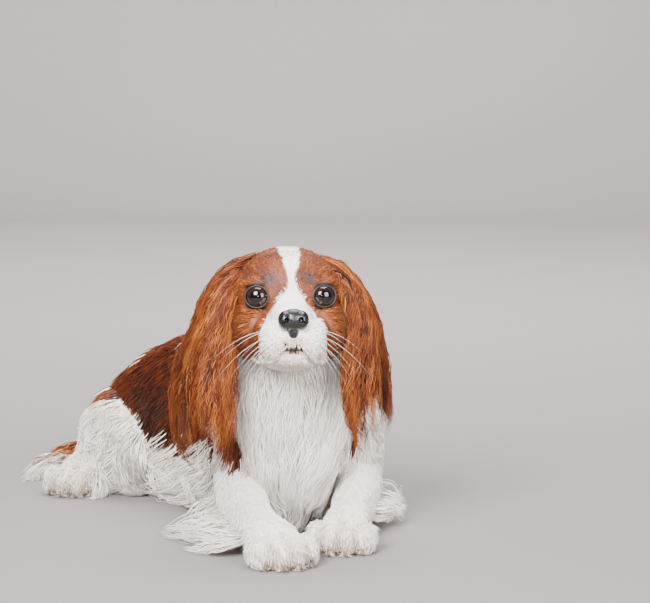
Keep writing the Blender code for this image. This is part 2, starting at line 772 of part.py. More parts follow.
def lengthened(stations, by):
    """The same stations, with one more that far beyond the last."""
    end, before = Vector(stations[-1][:3]), Vector(stations[-2][:3])
    beyond = end + (end - before).normalized() * by
    return (*stations, (*beyond, stations[-1][3] + 0.004, stations[-1][4]))


def part_body(body):
    """Cuts the limbs and neck out of the whole, so that they meet it face to face."""
    found = {}
    for name in (*LIMBS, "neck_and_chest"):
        around = region(name)
        limb = boolean(copy_of(body, name), around, "INTERSECT", keep_other=True)
        boolean(body, swollen(around, PART_GAP), "DIFFERENCE")
        bpy.data.objects.remove(around)
        found[name] = limb
    found["torso"] = body
    return found


def cored(stations, width, height, length):
    """The dense core of a tube: the same line, thinner and shorter, rounded off at its end."""
    kept = stations[:max(3, round(length * len(stations)))]
    ease = [1.0] * (len(kept) - 2) + [0.85, 0.45]
    return [(x, y, z, w * width * e, h * height * e) for (x, y, z, w, h), e in zip(kept, ease)]


def build_ear(name, stations, faces):
    """The core of an ear that hangs beside the head."""
    return fuse(name, [tube(cored(stations, *EAR_CORE), up=faces)], 0.0028, 2, EAR_TRIANGLES)


def shift_to_origin(objects):
    """Sets the middle of the footprint at the origin, and the floor at zero."""
    corners = [vert.co for obj in objects for vert in obj.data.vertices]
    low = Vector(min(corner[axis] for corner in corners) for axis in range(3))
    high = Vector(max(corner[axis] for corner in corners) for axis in range(3))
    move = Matrix.Translation((-(low.x + high.x) / 2, -(low.y + high.y) / 2, 0))
    for obj in objects:
        obj.data.transform(move)


def to_world(stations):
    """The stations of an ear, from the head's frame to the model's."""
    placed = head_frame(pitched=False)
    return [(*(placed @ Vector(station[:3])), *station[3:]) for station in stations]


def main():
    clear_scene()
    dog = new_collection("cavalier_king_charles_spaniel")
    turned = head_frame(pitched=False).to_3x3()
    guides = {
        "bib": (BIB, BIB_FACES),
        "torso": (TORSO, UPWARD),
        "foreleg_right": (FORELEG_RIGHT, UPWARD),
        "foreleg_left": (FORELEG_LEFT, UPWARD),
        "thigh_right": (THIGH_RIGHT, UPWARD),
        "thigh_left": (THIGH_LEFT, UPWARD),
        "foot_right": (FOOT_RIGHT, UPWARD),
        "foot_left": (FOOT_LEFT, UPWARD),
        "tail": (TAIL, UPWARD),
        "ear_right": (to_world(EAR_RIGHT), turned @ EAR_RIGHT_FACES),
        "ear_left": (to_world(EAR_LEFT), turned @ EAR_LEFT_FACES),
    }
    nodes = part_body(build_body())
    nodes["head"], nodes["nose"], form = build_head()
    nodes["eye_right"] = eye(-1)
    nodes["eye_left"] = eye(1)
    for name in ("ear_right", "ear_left"):
        nodes[name] = build_ear(name, *guides[name])
    surfaces = {name: surface_of(nodes[name]) for name in HAIR}
    surfaces["head"] = surface_of(form)
    dice = random.Random(HAIR_SEED)
    for name, rows in HAIR.items():
        neighbours = [surfaces[other] for other in NEIGHBOURS[name]]
        unite(nodes[name], grow_locks(rows, guides, neighbours, dice), HAIR_TRIANGLES[name])
        on_floor(nodes[name])
    around_head = swollen(form, FORM_GAP)
    bpy.data.objects.remove(form)
    for name, others in YIELDS_TO.items():
        clear_of(nodes[name], *(nodes[other] for other in others))
        if name in TOUCHES_HEAD:
            boolean(nodes[name], around_head, "DIFFERENCE", keep_other=True)
            boolean(nodes[name], nodes["head"], "DIFFERENCE", keep_other=True)
    bpy.data.objects.remove(around_head)
    finishes = {
        "nose": ("nose_leather", BLACK, 0.35),
        "eye_right": ("eye", EYE_BROWN, 0.05),
        "eye_left": ("eye", EYE_BROWN, 0.05),
        "head": ("chestnut_coat", CHESTNUT, 0.6),
        "ear_right": ("chestnut_coat", CHESTNUT, 0.6),
        "ear_left": ("chestnut_coat", CHESTNUT, 0.6),
    }
    for name, obj in nodes.items():
        obj.name = name
        paint(obj, *finishes.get(name, ("white_coat", WHITE, 0.65)))
        put_in(dog, obj)
    shift_to_origin(list(nodes.values()))


if __name__ == "__main__":
    main()
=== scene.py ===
import math

import bpy
import numpy as np
from mathutils import Matrix, Vector
from mathutils.bvhtree import BVHTree


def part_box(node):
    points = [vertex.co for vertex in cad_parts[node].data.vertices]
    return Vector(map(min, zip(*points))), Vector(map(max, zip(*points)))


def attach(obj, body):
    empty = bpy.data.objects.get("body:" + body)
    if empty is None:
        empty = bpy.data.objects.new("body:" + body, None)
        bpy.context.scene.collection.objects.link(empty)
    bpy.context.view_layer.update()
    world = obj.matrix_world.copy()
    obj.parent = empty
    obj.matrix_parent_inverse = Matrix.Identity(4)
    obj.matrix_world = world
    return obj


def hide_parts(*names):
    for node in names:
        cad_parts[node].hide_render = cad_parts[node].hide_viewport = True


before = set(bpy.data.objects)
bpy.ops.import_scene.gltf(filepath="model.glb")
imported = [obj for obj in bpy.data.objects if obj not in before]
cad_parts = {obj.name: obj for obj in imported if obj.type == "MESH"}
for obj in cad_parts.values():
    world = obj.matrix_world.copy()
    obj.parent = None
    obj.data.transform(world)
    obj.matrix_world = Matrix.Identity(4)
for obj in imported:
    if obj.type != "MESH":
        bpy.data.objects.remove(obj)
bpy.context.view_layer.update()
dice = np.random.default_rng(11)

# Lengths are metres. Shapes are set out in the design frame, whose origin lies on the floor below the
# head, and are moved by SHIFT into the model's frame. The dog looks along -Y and its left is at +X.

EYE_LINE = Vector((0, -0.050, 0.2137))
HEAD_YAW = math.radians(5)
HEAD_PITCH = math.radians(-6)
EYE_SPREAD = 0.0270
EYE_DEPTH = 0.0035
EYE_RADIUS = 0.0113
EYE_TURN = math.radians(14)
LID_RADIUS = 0.0096
LID_THICKNESS = 0.0011
NOSE_CENTRE = Vector((0, -0.0325, -0.0190))
NOSE_HALF = 0.01275
UP = Vector((0, 0, 1))
FLOOR_CLEARANCE = 0.0007
LOWEST_HAIR = 0.0003
PATCH = 0.003

# Each station of a tube is (x, y, z, half width, half height), out to the surface of the coat.
TUBES = {
    "torso": (
        (0.008, -0.008, 0.108, 0.026, 0.031),
        (0.006, 0.004, 0.102, 0.044, 0.049),
        (-0.002, 0.034, 0.090, 0.058, 0.075),
        (-0.024, 0.082, 0.085, 0.063, 0.086),
        (-0.056, 0.128, 0.082, 0.062, 0.086),
        (-0.090, 0.172, 0.076, 0.056, 0.079),
        (-0.119, 0.214, 0.068, 0.054, 0.070),
        (-0.142, 0.248, 0.058, 0.050, 0.057),
        (-0.160, 0.273, 0.047, 0.044, 0.045),
        (-0.173, 0.287, 0.040, 0.035, 0.034),
        (-0.182, 0.293, 0.037, 0.016, 0.018),
    ),
    "neck": (
        (0.001, 0.000, 0.204, 0.040, 0.043),
        (0.000, 0.008, 0.186, 0.045, 0.048),
        (-0.003, 0.026, 0.163, 0.050, 0.054),
        (-0.008, 0.052, 0.141, 0.056, 0.061),
        (-0.012, 0.080, 0.114, 0.058, 0.065),
    ),
    "foreleg_right": (
        (-0.036, 0.036, 0.112, 0.022, 0.026),
        (-0.042, 0.030, 0.088, 0.027, 0.036),
        (-0.046, 0.030, 0.057, 0.027, 0.035),
        (-0.045, 0.016, 0.035, 0.026, 0.031),
        (-0.041, -0.014, 0.026, 0.024, 0.028),
        (-0.035, -0.048, 0.024, 0.021, 0.025),
        (-0.026, -0.080, 0.020, 0.020, 0.022),
        (-0.014, -0.108, 0.018, 0.024, 0.020),
        (-0.008, -0.124, 0.015, 0.024, 0.016),
    ),
    "foreleg_left": (
        (0.044, 0.066, 0.112, 0.022, 0.026),
        (0.052, 0.060, 0.088, 0.027, 0.036),
        (0.057, 0.060, 0.057, 0.026, 0.035),
        (0.058, 0.048, 0.035, 0.025, 0.031),
        (0.057, 0.024, 0.026, 0.023, 0.028),
        (0.054, -0.006, 0.024, 0.021, 0.025),
        (0.050, -0.034, 0.020, 0.019, 0.022),
        (0.046, -0.058, 0.018, 0.022, 0.020),
        (0.044, -0.070, 0.015, 0.022, 0.016),
    ),
    "thigh_right": (
        (-0.148, 0.262, 0.059, 0.030, 0.035),
        (-0.160, 0.240, 0.057, 0.039, 0.047),
        (-0.164, 0.208, 0.049, 0.040, 0.046),
        (-0.156, 0.178, 0.041, 0.034, 0.041),
        (-0.146, 0.158, 0.035, 0.025, 0.032),
        (-0.142, 0.150, 0.033, 0.014, 0.018),
    ),
    "foot_right": (
        (-0.172, 0.222, 0.030, 0.020, 0.024),
        (-0.190, 0.228, 0.024, 0.020, 0.022),
        (-0.198, 0.212, 0.020, 0.020, 0.020),
        (-0.203, 0.190, 0.018, 0.022, 0.018),
        (-0.206, 0.176, 0.015, 0.022, 0.015),
    ),
    "thigh_left": (
        (-0.142, 0.270, 0.059, 0.030, 0.035),
        (-0.118, 0.274, 0.057, 0.038, 0.047),
        (-0.096, 0.250, 0.049, 0.038, 0.046),
        (-0.078, 0.228, 0.041, 0.033, 0.041),
        (-0.068, 0.208, 0.035, 0.024, 0.032),
        (-0.066, 0.200, 0.033, 0.014, 0.018),
    ),
    "foot_left": (
        (-0.116, 0.278, 0.030, 0.020, 0.024),
        (-0.112, 0.294, 0.024, 0.020, 0.022),
        (-0.094, 0.282, 0.020, 0.020, 0.020),
        (-0.072, 0.262, 0.018, 0.022, 0.018),
        (-0.060, 0.248, 0.015, 0.022, 0.015),
    ),
    "tail": (
        (-0.176, 0.276, 0.038, 0.015, 0.015),
        (-0.190, 0.289, 0.026, 0.017, 0.015),
        (-0.207, 0.291, 0.018, 0.018, 0.014),
        (-0.223, 0.284, 0.013, 0.017, 0.012),
        (-0.237, 0.270, 0.010, 0.015, 0.010),
        (-0.248, 0.252, 0.008, 0.012, 0.008),
        (-0.257, 0.236, 0.006, 0.007, 0.005),
    ),
}
BIB = (
    (0.000, 0.004, 0.170, 0.040, 0.036),
    (0.000, 0.004, 0.150, 0.048, 0.037),
    (0.001, 0.005, 0.122, 0.052, 0.038),
    (0.002, 0.006, 0.092, 0.050, 0.039),
    (0.003, 0.007, 0.062, 0.043, 0.038),
    (0.004, 0.009, 0.036, 0.032, 0.034),
    (0.004, 0.011, 0.014, 0.020, 0.028),
)
# The ears in the head's frame without its pitch, as they hang straight down.
EAR_RIGHT = (
    (-0.028, 0.039, 0.025, 0.010, 0.008),
    (-0.042, 0.036, 0.017, 0.013, 0.009),
    (-0.054, 0.032, 0.003, 0.016, 0.009),
    (-0.061, 0.028, -0.014, 0.020, 0.009),
    (-0.064, 0.025, -0.033, 0.024, 0.010),
    (-0.070, 0.021, -0.057, 0.031, 0.011),
    (-0.073, 0.016, -0.082, 0.035, 0.012),
    (-0.073, 0.012, -0.104, 0.035, 0.012),
    (-0.071, 0.010, -0.124, 0.032, 0.011),
    (-0.069, 0.008, -0.140, 0.025, 0.009),
    (-0.067, 0.007, -0.151, 0.012, 0.005),
)
EAR_LEFT = (
    (0.028, 0.039, 0.024, 0.010, 0.008),
    (0.042, 0.036, 0.016, 0.013, 0.009),
    (0.053, 0.033, 0.002, 0.016, 0.009),
    (0.060, 0.029, -0.014, 0.020, 0.009),
    (0.064, 0.026, -0.033, 0.026, 0.010),
    (0.065, 0.022, -0.059, 0.032, 0.011),
    (0.066, 0.019, -0.086, 0.034, 0.011),
    (0.068, 0.016, -0.110, 0.031, 0.011),
    (0.070, 0.014, -0.130, 0.024, 0.010),
    (0.072, 0.013, -0.145, 0.011, 0.005),
)
EAR_RIGHT_FACES = Vector((-0.64, -0.77, 0))
EAR_LEFT_FACES = Vector((0.77, -0.64, 0))

# How deep the skin lies under the surface of the coat.
COAT_DEPTH = {
    "torso": 0.0045, "neck": 0.0060, "foreleg_right": 0.0035, "foreleg_left": 0.0035,
    "thigh_right": 0.0050, "thigh_left": 0.0050, "foot_right": 0.0025, "foot_left": 0.0025,
    "tail": 0.0045, "bib": 0.0110,
}
HEAD_COAT_DEPTH = 0.0022
BODY_VOXEL = 0.0026
HEAD_VOXEL = 0.0011

# The head's masses in its own frame: centre, half sizes, and whether a mirrored one stands beside it.
HEAD_MASSES = (
    ((0, 0.040, 0.002), (0.050, 0.052, 0.0425), False),
    ((0, 0.017, 0.013), (0.041, 0.026, 0.0275), False),
    ((0.030, 0.022, -0.026), (0.021, 0.032, 0.028), True),
    ((0, 0.020, -0.036), (0.034, 0.038, 0.024), False),
    ((0, -0.006, -0.0185), (0.021, 0.027, 0.0165), False),
    ((0, -0.014, -0.034), (0.026, 0.022, 0.020), False),
    ((0.0145, -0.019, -0.037), (0.0165, 0.0175, 0.0195), True),
    ((0.0230, -0.006, -0.036), (0.0120, 0.0200, 0.0200), True),
    ((0.0230, 0.006, 0.0125), (0.018, 0.0125, 0.0100), True),
)
JAW_MASSES = (
    ((0, -0.017, -0.053), (0.016, 0.0165, 0.0085), False),
    ((0, 0.004, -0.052), (0.026, 0.026, 0.012), False),
)
MOUTH_LINE = (
    (0.0, -0.036, -0.0410),
    (0.0050, -0.036, -0.0430),
    (0.0105, -0.034, -0.0475),
    (0.0155, -0.030, -0.0535),
    (0.0215, -0.020, -0.0570),
    (0.0275, -0.008, -0.0575),
    (0.0310, 0.006, -0.0540),
)
TOE_SPREAD = (-0.0205, -0.0070, 0.0070, 0.0205)
TOE_REACH = (0.005, 0.013, 0.013, 0.005)
TOE_SIZE = (0.0105, 0.0190, 0.0155)
TOE_COAT_DEPTH = 0.0018
TOE_SINK = 0.0035
SHOULDER_SIZE = (0.0215, 0.0235, 0.0190)
SHOULDER_DROP = 0.002
PAWS = ("foreleg_right", "foreleg_left", "foot_right", "foot_left")

# Heights in the head's frame, and how far the white reaches to each side there.
BLAZE_HEIGHT = (-0.075, -0.065, -0.056, -0.050, -0.040, -0.030, -0.0235, -0.017, -0.009, -0.0037, 0.0018,
                0.0073, 0.0127, 0.018, 0.025, 0.031, 0.041)
BLAZE_HALF = (0.090, 0.050, 0.031, 0.0285, 0.028, 0.0272, 0.0254, 0.0211, 0.0155, 0.0112, 0.0077,
              0.0042, 0.0025, 0.0035, 0.0058, 0.0070, 0.0095)
# Turns round the trunk from its top down a flank, and how far back and forward the saddle reaches there.
SADDLE_TURN = (90, 118, 139, 154, 160, 163, 167, 172, 180, 188, 193, 196, 204, 212, 216)
SADDLE_BACK = (0.72, 0.72, 0.70, 0.69, 0.64, 0.60, 0.57, 0.53, 0.51, 0.50, 0.48, 0.46, 0.45, 0.44, 0.30)
SADDLE_FRONT = (0.45, 0.43, 0.30, 0.14, 0.10, 0.08, 0.06, 0.06, 0.08, 0.12, 0.16, 0.20, 0.28, 0.40, 0.40)


def head_frame(pitched=True):
    placed = Matrix.Translation(EYE_LINE) @ Matrix.Rotation(HEAD_YAW, 4, "Z")
    return placed @ Matrix.Rotation(HEAD_PITCH, 4, "X") if pitched else placed


def eye_centre(side):
    return Vector((side * EYE_SPREAD, EYE_DEPTH, 0))


def eye_gaze(side):
    return Vector((side * math.sin(EYE_TURN), -math.cos(EYE_TURN), 0))


eye_low, eye_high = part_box("eye_right")
SHIFT = (eye_low + eye_high) / 2 - head_frame() @ eye_centre(-1)
TO_HEAD = np.array(head_frame().inverted())


def to_world(stations):
    placed = head_frame(pitched=False)
    return tuple((*(placed @ Vector(station[:3])), *station[3:]) for station in stations)


turned = head_frame(pitched=False).to_3x3()
GUIDES = {name: (stations, UP) for name, stations in TUBES.items()}
GUIDES["bib"] = (BIB, Vector((0, -1, 0)))
GUIDES["ear_right"] = (to_world(EAR_RIGHT), turned @ EAR_RIGHT_FACES)
GUIDES["ear_left"] = (to_world(EAR_LEFT), turned @ EAR_LEFT_FACES)


# Small helpers

def unit(vectors):
    return vectors / np.maximum(np.linalg.norm(vectors, axis=-1, keepdims=True), 1e-12)


def smooth_step(low, high, value):
    share = np.clip((value - low) / (high - low), 0, 1)
    return share * share * (3 - 2 * share)


def linear(code):
    """An sRGB hex colour as linear RGBA."""
    parts = [int(code[i:i + 2], 16) / 255 for i in (0, 2, 4)]
    return (*[c / 12.92 if c <= 0.04045 else ((c + 0.055) / 1.055) ** 2.4 for c in parts], 1)


def add_object(name, data):
    made = bpy.data.objects.new(name, data)
    bpy.context.scene.collection.objects.link(made)
    return made


def deselect():
    for obj in bpy.context.selected_objects:
        obj.select_set(False)


def select_only(obj):
    deselect()
    obj.select_set(True)
    bpy.context.view_layer.objects.active = obj


def apply_modifiers(obj):
    graph = bpy.context.evaluated_depsgraph_get()
    obj.data = bpy.data.meshes.new_from_object(obj.evaluated_get(graph))
    obj.modifiers.clear()
    return obj


def join(pieces, name):
    deselect()
    for piece in pieces:
        piece.select_set(True)
    bpy.context.view_layer.objects.active = pieces[0]
    if len(pieces) > 1:
        bpy.ops.object.join()
    pieces[0].name = name
    return pieces[0]


def ball(centre, sizes, segments=32, rings=20):
    deselect()
    bpy.ops.mesh.primitive_uv_sphere_add(segments=segments, ring_count=rings, radius=1)
    made = bpy.context.object
    made.data.transform(Matrix.Translation(centre) @ Matrix.Diagonal((*sizes, 1)))
    return made


def tube(stations, up=UP, grow=0.0, sides=24):
    """A closed body lofted through oval sections, each set square to the line of their centres."""
    centres = [Vector(station[:3]) for station in stations]
    last = len(stations) - 1
    verts = []
    for i, (_, _, _, half_width, half_height) in enumerate(stations):
        ahead = centres[min(i + 1, last)] - centres[max(i - 1, 0)]
        across = ahead.cross(up).normalized()
        rise = across.cross(ahead).normalized()
        for k in range(sides):
            angle = math.tau * k / sides
            wide = across * math.cos(angle) * max(half_width + grow, 0.001)
            verts.append(centres[i] + wide + rise * math.sin(angle) * max(half_height + grow, 0.001))
    faces = [
        (i * sides + k, i * sides + (k + 1) % sides, (i + 1) * sides + (k + 1) % sides, (i + 1) * sides + k)
        for i in range(last)
        for k in range(sides)
    ]
    faces += [tuple(range(sides))[::-1], tuple(last * sides + k for k in range(sides))]
    mesh = bpy.data.meshes.new("tube")
    mesh.from_pydata(verts, [], faces)
    return add_object("tube", mesh)


def soften(obj, factor, iterations):
    soft = obj.modifiers.new("soft", "SMOOTH")
    soft.factor = factor
    soft.iterations = iterations
    return apply_modifiers(obj)


def fuse(name, pieces, voxel, smoothing):
    whole = join(pieces, name)
    remesh = whole.modifiers.new("fused", "REMESH")
    remesh.mode = "VOXEL"
    remesh.voxel_size = voxel
    return soften(whole, 0.5, smoothing)


def boolean(obj, other, operation):
    modifier = obj.modifiers.new("cut", "BOOLEAN")
    modifier.operation = operation
    modifier.solver = "MANIFOLD"
    modifier.object = other
    apply_modifiers(obj)
    bpy.data.objects.remove(other)
    return obj


def masses(rows, less=0.0):
    pieces = []
    for centre, sizes, paired in rows:
        shrunk = [size - less for size in sizes]
        pieces.append(ball(centre, shrunk))
        if paired:
            pieces.append(ball((-centre[0], centre[1], centre[2]), shrunk))
    return pieces


# The skin

def toe_placement(name):
    stations = TUBES[name]
    end = Vector(stations[-1][:3])
    ahead = end - Vector(stations[-2][:3])
    turn = math.atan2(ahead.y, ahead.x) + math.pi / 2
    return Matrix.Translation((end.x, end.y, 0)) @ Matrix.Rotation(turn, 4, "Z")


def toes(name):
    pieces = []
    for spread, reach in zip(TOE_SPREAD, TOE_REACH):
        sizes = [size - TOE_COAT_DEPTH for size in TOE_SIZE]
        toe = ball((spread, -reach, TOE_SIZE[2] - TOE_SINK), sizes)
        toe.data.transform(toe_placement(name))
        pieces.append(toe)
    return pieces


def ear_flap(name):
    stations, up = GUIDES[name]
    kept = stations[:7]
    ease = (1, 1, 1, 1, 1, 0.85, 0.5)
    return tube([(x, y, z, w * 0.62 * e, h * 0.30) for (x, y, z, w, h), e in zip(kept, ease)], up=up)


def lid_ring(side):
    """The rims of the upper and lower lid, as one ring round the opening."""
    out = math.sqrt(EYE_RADIUS**2 - (LID_RADIUS - LID_THICKNESS / 2) ** 2)
    centre = eye_centre(side) + eye_gaze(side) * out
    deselect()
    bpy.ops.mesh.primitive_torus_add(
        major_radius=LID_RADIUS, minor_radius=LID_THICKNESS, major_segments=64, minor_segments=16
    )
    ring = bpy.context.object
    placed = Matrix.Translation(centre) @ eye_gaze(side).to_track_quat("Z", "Y").to_matrix().to_4x4()
    ring.data.transform(placed @ Matrix.Diagonal((1.04, 0.95, 1, 1)))
    return ring


def tear_corner(side):
    """The dark inner corner of the eye."""
    return ball(
        eye_centre(side) + Vector((-side * 0.0098, -0.0050, -0.0020)), (0.0030, 0.0022, 0.0016), 16, 10
    )


def mouth_rods(head):
    mesh = head.data
    tree = BVHTree.FromPolygons([v.co for v in mesh.vertices], [p.vertices for p in mesh.polygons])
    lines = [[(side * x, y, z) for x, y, z in MOUTH_LINE] for side in (-1, 1)]
    lines.append([(0, -0.036, z) for z in (-0.0330, -0.0370, -0.0410)])
    rods = []
    for line in lines:
        hits = [tree.find_nearest(Vector(point))[0] for point in line]
        stations = [(*hit, 0.0009, 0.0009) for hit in hits]
        rods.append(tube(stations, up=Vector((0, 1, 0.1)), sides=8))
    return rods


def build_skin():
    upper = fuse("head", masses(HEAD_MASSES, HEAD_COAT_DEPTH), HEAD_VOXEL, 8)
    jaw = fuse("jaw", masses(JAW_MASSES, HEAD_COAT_DEPTH * 0.6), HEAD_VOXEL, 3)
    boolean(upper, jaw, "UNION")
    for rod in mouth_rods(upper):
        boolean(upper, rod, "DIFFERENCE")
    for side in (-1, 1):
        boolean(upper, lid_ring(side), "UNION")
        boolean(upper, tear_corner(side), "UNION")
        boolean(upper, ball(eye_centre(side), (EYE_RADIUS + 0.0002,) * 3, 48, 32), "DIFFERENCE")
    upper.data.transform(head_frame())
    pieces = [tube(GUIDES[name][0], GUIDES[name][1], -depth) for name, depth in COAT_DEPTH.items()]
    for name in PAWS:
        pieces += toes(name)
    pieces += [ear_flap("ear_right"), ear_flap("ear_left")]
    for name in ("foreleg_right", "foreleg_left"):
        x, y, z = GUIDES[name][0][0][:3]
        pieces.append(ball((x, y, z - SHOULDER_DROP), SHOULDER_SIZE))
    body = fuse("body", pieces, BODY_VOXEL, 3)
    skin = boolean(body, upper, "UNION")
    co = np.empty(len(skin.data.vertices) * 3)
    skin.data.vertices.foreach_get("co", co)
    co[2::3] = np.maximum(co[2::3], FLOOR_CLEARANCE)
    skin.data.vertices.foreach_set("co", co)
    skin.name = "skin"
    deselect()
    select_only(skin)
    bpy.ops.object.mode_set(mode="EDIT")
    bpy.ops.mesh.select_all(action="SELECT")
    bpy.ops.mesh.quads_convert_to_tris()
    bpy.ops.uv.smart_project(angle_limit=math.radians(66), island_margin=0.001)
    bpy.ops.object.mode_set(mode="OBJECT")
    skin.data.uv_layers[0].name = "OFBake"
    skin.data.shade_smooth()
    return skin


# Places on the body

def nearest_on(points, name):
    """For each point: share of the tube's length, turn round it, height over its surface, its course."""
    stations, up = GUIDES[name]
    table = np.array(stations)
    start, end = table[:-1], table[1:]
    course = end[:, :3] - start[:, :3]
    share = ((points[:, None, :] - start[None, :, :3]) * course).sum(2) / (course**2).sum(1)
    share = np.clip(share, 0, 1)
    at = start[None] + (end - start)[None] * share[..., None]
    off = points[:, None, :] - at[..., :3]
    height = np.linalg.norm(off, axis=2) - (at[..., 3] + at[..., 4]) / 2
    best = height.argmin(1)
    row = np.arange(len(points))
    ahead = unit(course)[best]
    across = unit(np.cross(ahead, np.array(up)))
    rise = np.cross(across, ahead)
    off, at = off[row, best], at[row, best]
    turn = np.degrees(np.arctan2((off * rise).sum(1) / at[:, 4], (off * across).sum(1) / at[:, 3])) % 360
    return (best + share[row, best]) / len(start), turn, height[row, best], ahead


def in_head(points):
    return points @ TO_HEAD[:3, :3].T + TO_HEAD[:3, 3]


def over_head(points):
    """How far each point lies outside the head's masses, roughly, in metres."""
    at = in_head(points)
    least = np.full(len(points), 1.0)
    for centre, sizes, _ in HEAD_MASSES + JAW_MASSES:
        placed = at.copy()
        placed[:, 0] = np.abs(placed[:, 0]) if centre[0] else placed[:, 0]
        size = np.array(sizes)
        ratio = np.linalg.norm((placed - centre) / size, axis=1)
        least = np.minimum(least, (ratio - 1) * size.min())
    return least


def ripple(points, size, seed=0.0):
    """A smooth pattern from -1 to 1 that varies over about that size."""
    p = points / size
    a = np.sin(p[:, 0] * 2.1 + 1.7 * np.sin(p[:, 1] * 1.3 + seed) + seed)
    b = np.sin(p[:, 1] * 2.4 + 1.3 * np.sin(p[:, 2] * 1.9 - seed) + 2.1)
    c = np.sin(p[:, 2] * 2.2 + 1.5 * np.sin(p[:, 0] * 1.7 + 0.6) - seed)
    return (a + b + c) / 3


PARTS = ("torso", "neck", "foreleg_right", "foreleg_left", "thigh_right", "foot_right", "thigh_left",
         "foot_left", "tail", "ear_right", "ear_left")


def part_at(points):
    """The index in PARTS of the part that each point lies on, or -1 on the head."""
    heights = np.stack([nearest_on(points, name)[2] + COAT_DEPTH.get(name, 0.004) for name in PARTS], 1)
    part = heights.argmin(1)
    least = heights.min(1)
    return np.where(over_head(points) < least + 0.001, -1, part)


def head_chestnut(points):
    at = in_head(points)
    half = np.interp(at[:, 2], BLAZE_HEIGHT, BLAZE_HALF) + ripple(points, 0.006) * 0.0012
    half = np.where(at[:, 1] > 0.055, np.minimum(half, 0.011), half)
    wide = np.abs(at[:, 0] - 0.0007)
    mask = smooth_step(-0.0012, 0.0012, wide - half)
    spot = np.linalg.norm(at - (-0.0145, -0.030, -0.0205), axis=1)
    return np.maximum(mask, 0.55 * (spot < 0.0032))


def body_chestnut(points):
    along, turn, _, _ = nearest_on(points, "torso")
    down = np.where((turn < 90) | (turn > 270), (180 - turn) % 360, turn)
    left = (turn < 90) | (turn > 270)
    along = along + ripple(points, 0.020) * 0.012 - left * 0.02
    back = np.interp(down, SADDLE_TURN, SADDLE_BACK)
    front = np.interp(down, SADDLE_TURN, SADDLE_FRONT)
    mask = smooth_step(-0.012, 0.012, back - along) * smooth_step(-0.012, 0.012, along - front)
    for place, around, size in ((0.585, 117, 0.022), (0.625, 123, 0.014), (0.50, 75, 0.02)):
        spot = np.hypot((along - place) * 2, (turn - around) / 360 * 1.2)
        mask = np.minimum(mask, smooth_step(size * 0.8, size * 1.2, spot))
    strip = smooth_step(0.20, 0.22, along) * smooth_step(0.30, 0.28, along) * (down > 190)
    return np.maximum(np.maximum(mask, strip), smooth_step(0.90, 0.94, along) * (down < 200))


def chestnut(points, part):
    """1 where the coat is chestnut and 0 where it is white."""
    tail_along = nearest_on(points, "tail")[0]
    made = body_chestnut(points)
    made = np.where(part == -1, head_chestnut(points), made)
    for name in ("foreleg_right", "foreleg_left", "foot_right", "foot_left"):
        made = np.where(part == PARTS.index(name), 0, made)
    made = np.where(part == PARTS.index("tail"), smooth_step(0.50, 0.44, tail_along), made)
    for name in ("ear_right", "ear_left"):
        made = np.where(part == PARTS.index(name), 1, made)
    return made


def dark_skin(points):
    """1 on the bare black skin of the lids and lips."""
    at = in_head(points)
    made = np.zeros(len(points))
    for side in (-1, 1):
        away = np.linalg.norm(at - np.array(eye_centre(side)), axis=1)
        made = np.maximum(made, smooth_step(EYE_RADIUS + 0.0024, EYE_RADIUS + 0.0014, away))
        corner = np.array(eye_centre(side) + Vector((-side * 0.0100, -0.0050, -0.0022)))
        away = np.linalg.norm((at - corner) / (1.3, 1, 1), axis=1)
        made = np.maximum(made, smooth_step(0.0048, 0.0034, away))
    wide = np.abs(at[:, 0])
    line = np.array([(x, z) for x, _, z in MOUTH_LINE])
    level = np.interp(wide, line[:, 0], line[:, 1])
    near = np.abs(at[:, 2] - level)
    front = (at[:, 1] < 0.002) & (wide < 0.030)
    lip = smooth_step(0.0022, 0.0010, near) * front * (0.55 + 0.45 * (wide < 0.008))
    return np.maximum(made, lip)


def pink_skin(points):
    at = in_head(points)
    wide = np.abs(at[:, 0])
    below = smooth_step(-0.030, -0.036, at[:, 2]) * smooth_step(-0.060, -0.054, at[:, 2])
    return below * smooth_step(0.015, 0.008, wide) * (at[:, 1] < -0.02)


# Strands and tufts

STRAND_RINGS = {}


def strand_faces(rings):
    if rings not in STRAND_RINGS:
        faces = [(0, 1, 2)]
        for j in range(rings - 1):
            for a in range(3):
                b = (a + 1) % 3
                faces.append((j * 3 + a, j * 3 + 3 + a, j * 3 + 3 + b))
                faces.append((j * 3 + a, j * 3 + 3 + b, j * 3 + b))
        for a in range(3):
            faces.append(((rings - 1) * 3 + a, rings * 3, (rings - 1) * 3 + (a + 1) % 3))
        STRAND_RINGS[rings] = np.array(faces)
    return STRAND_RINGS[rings]


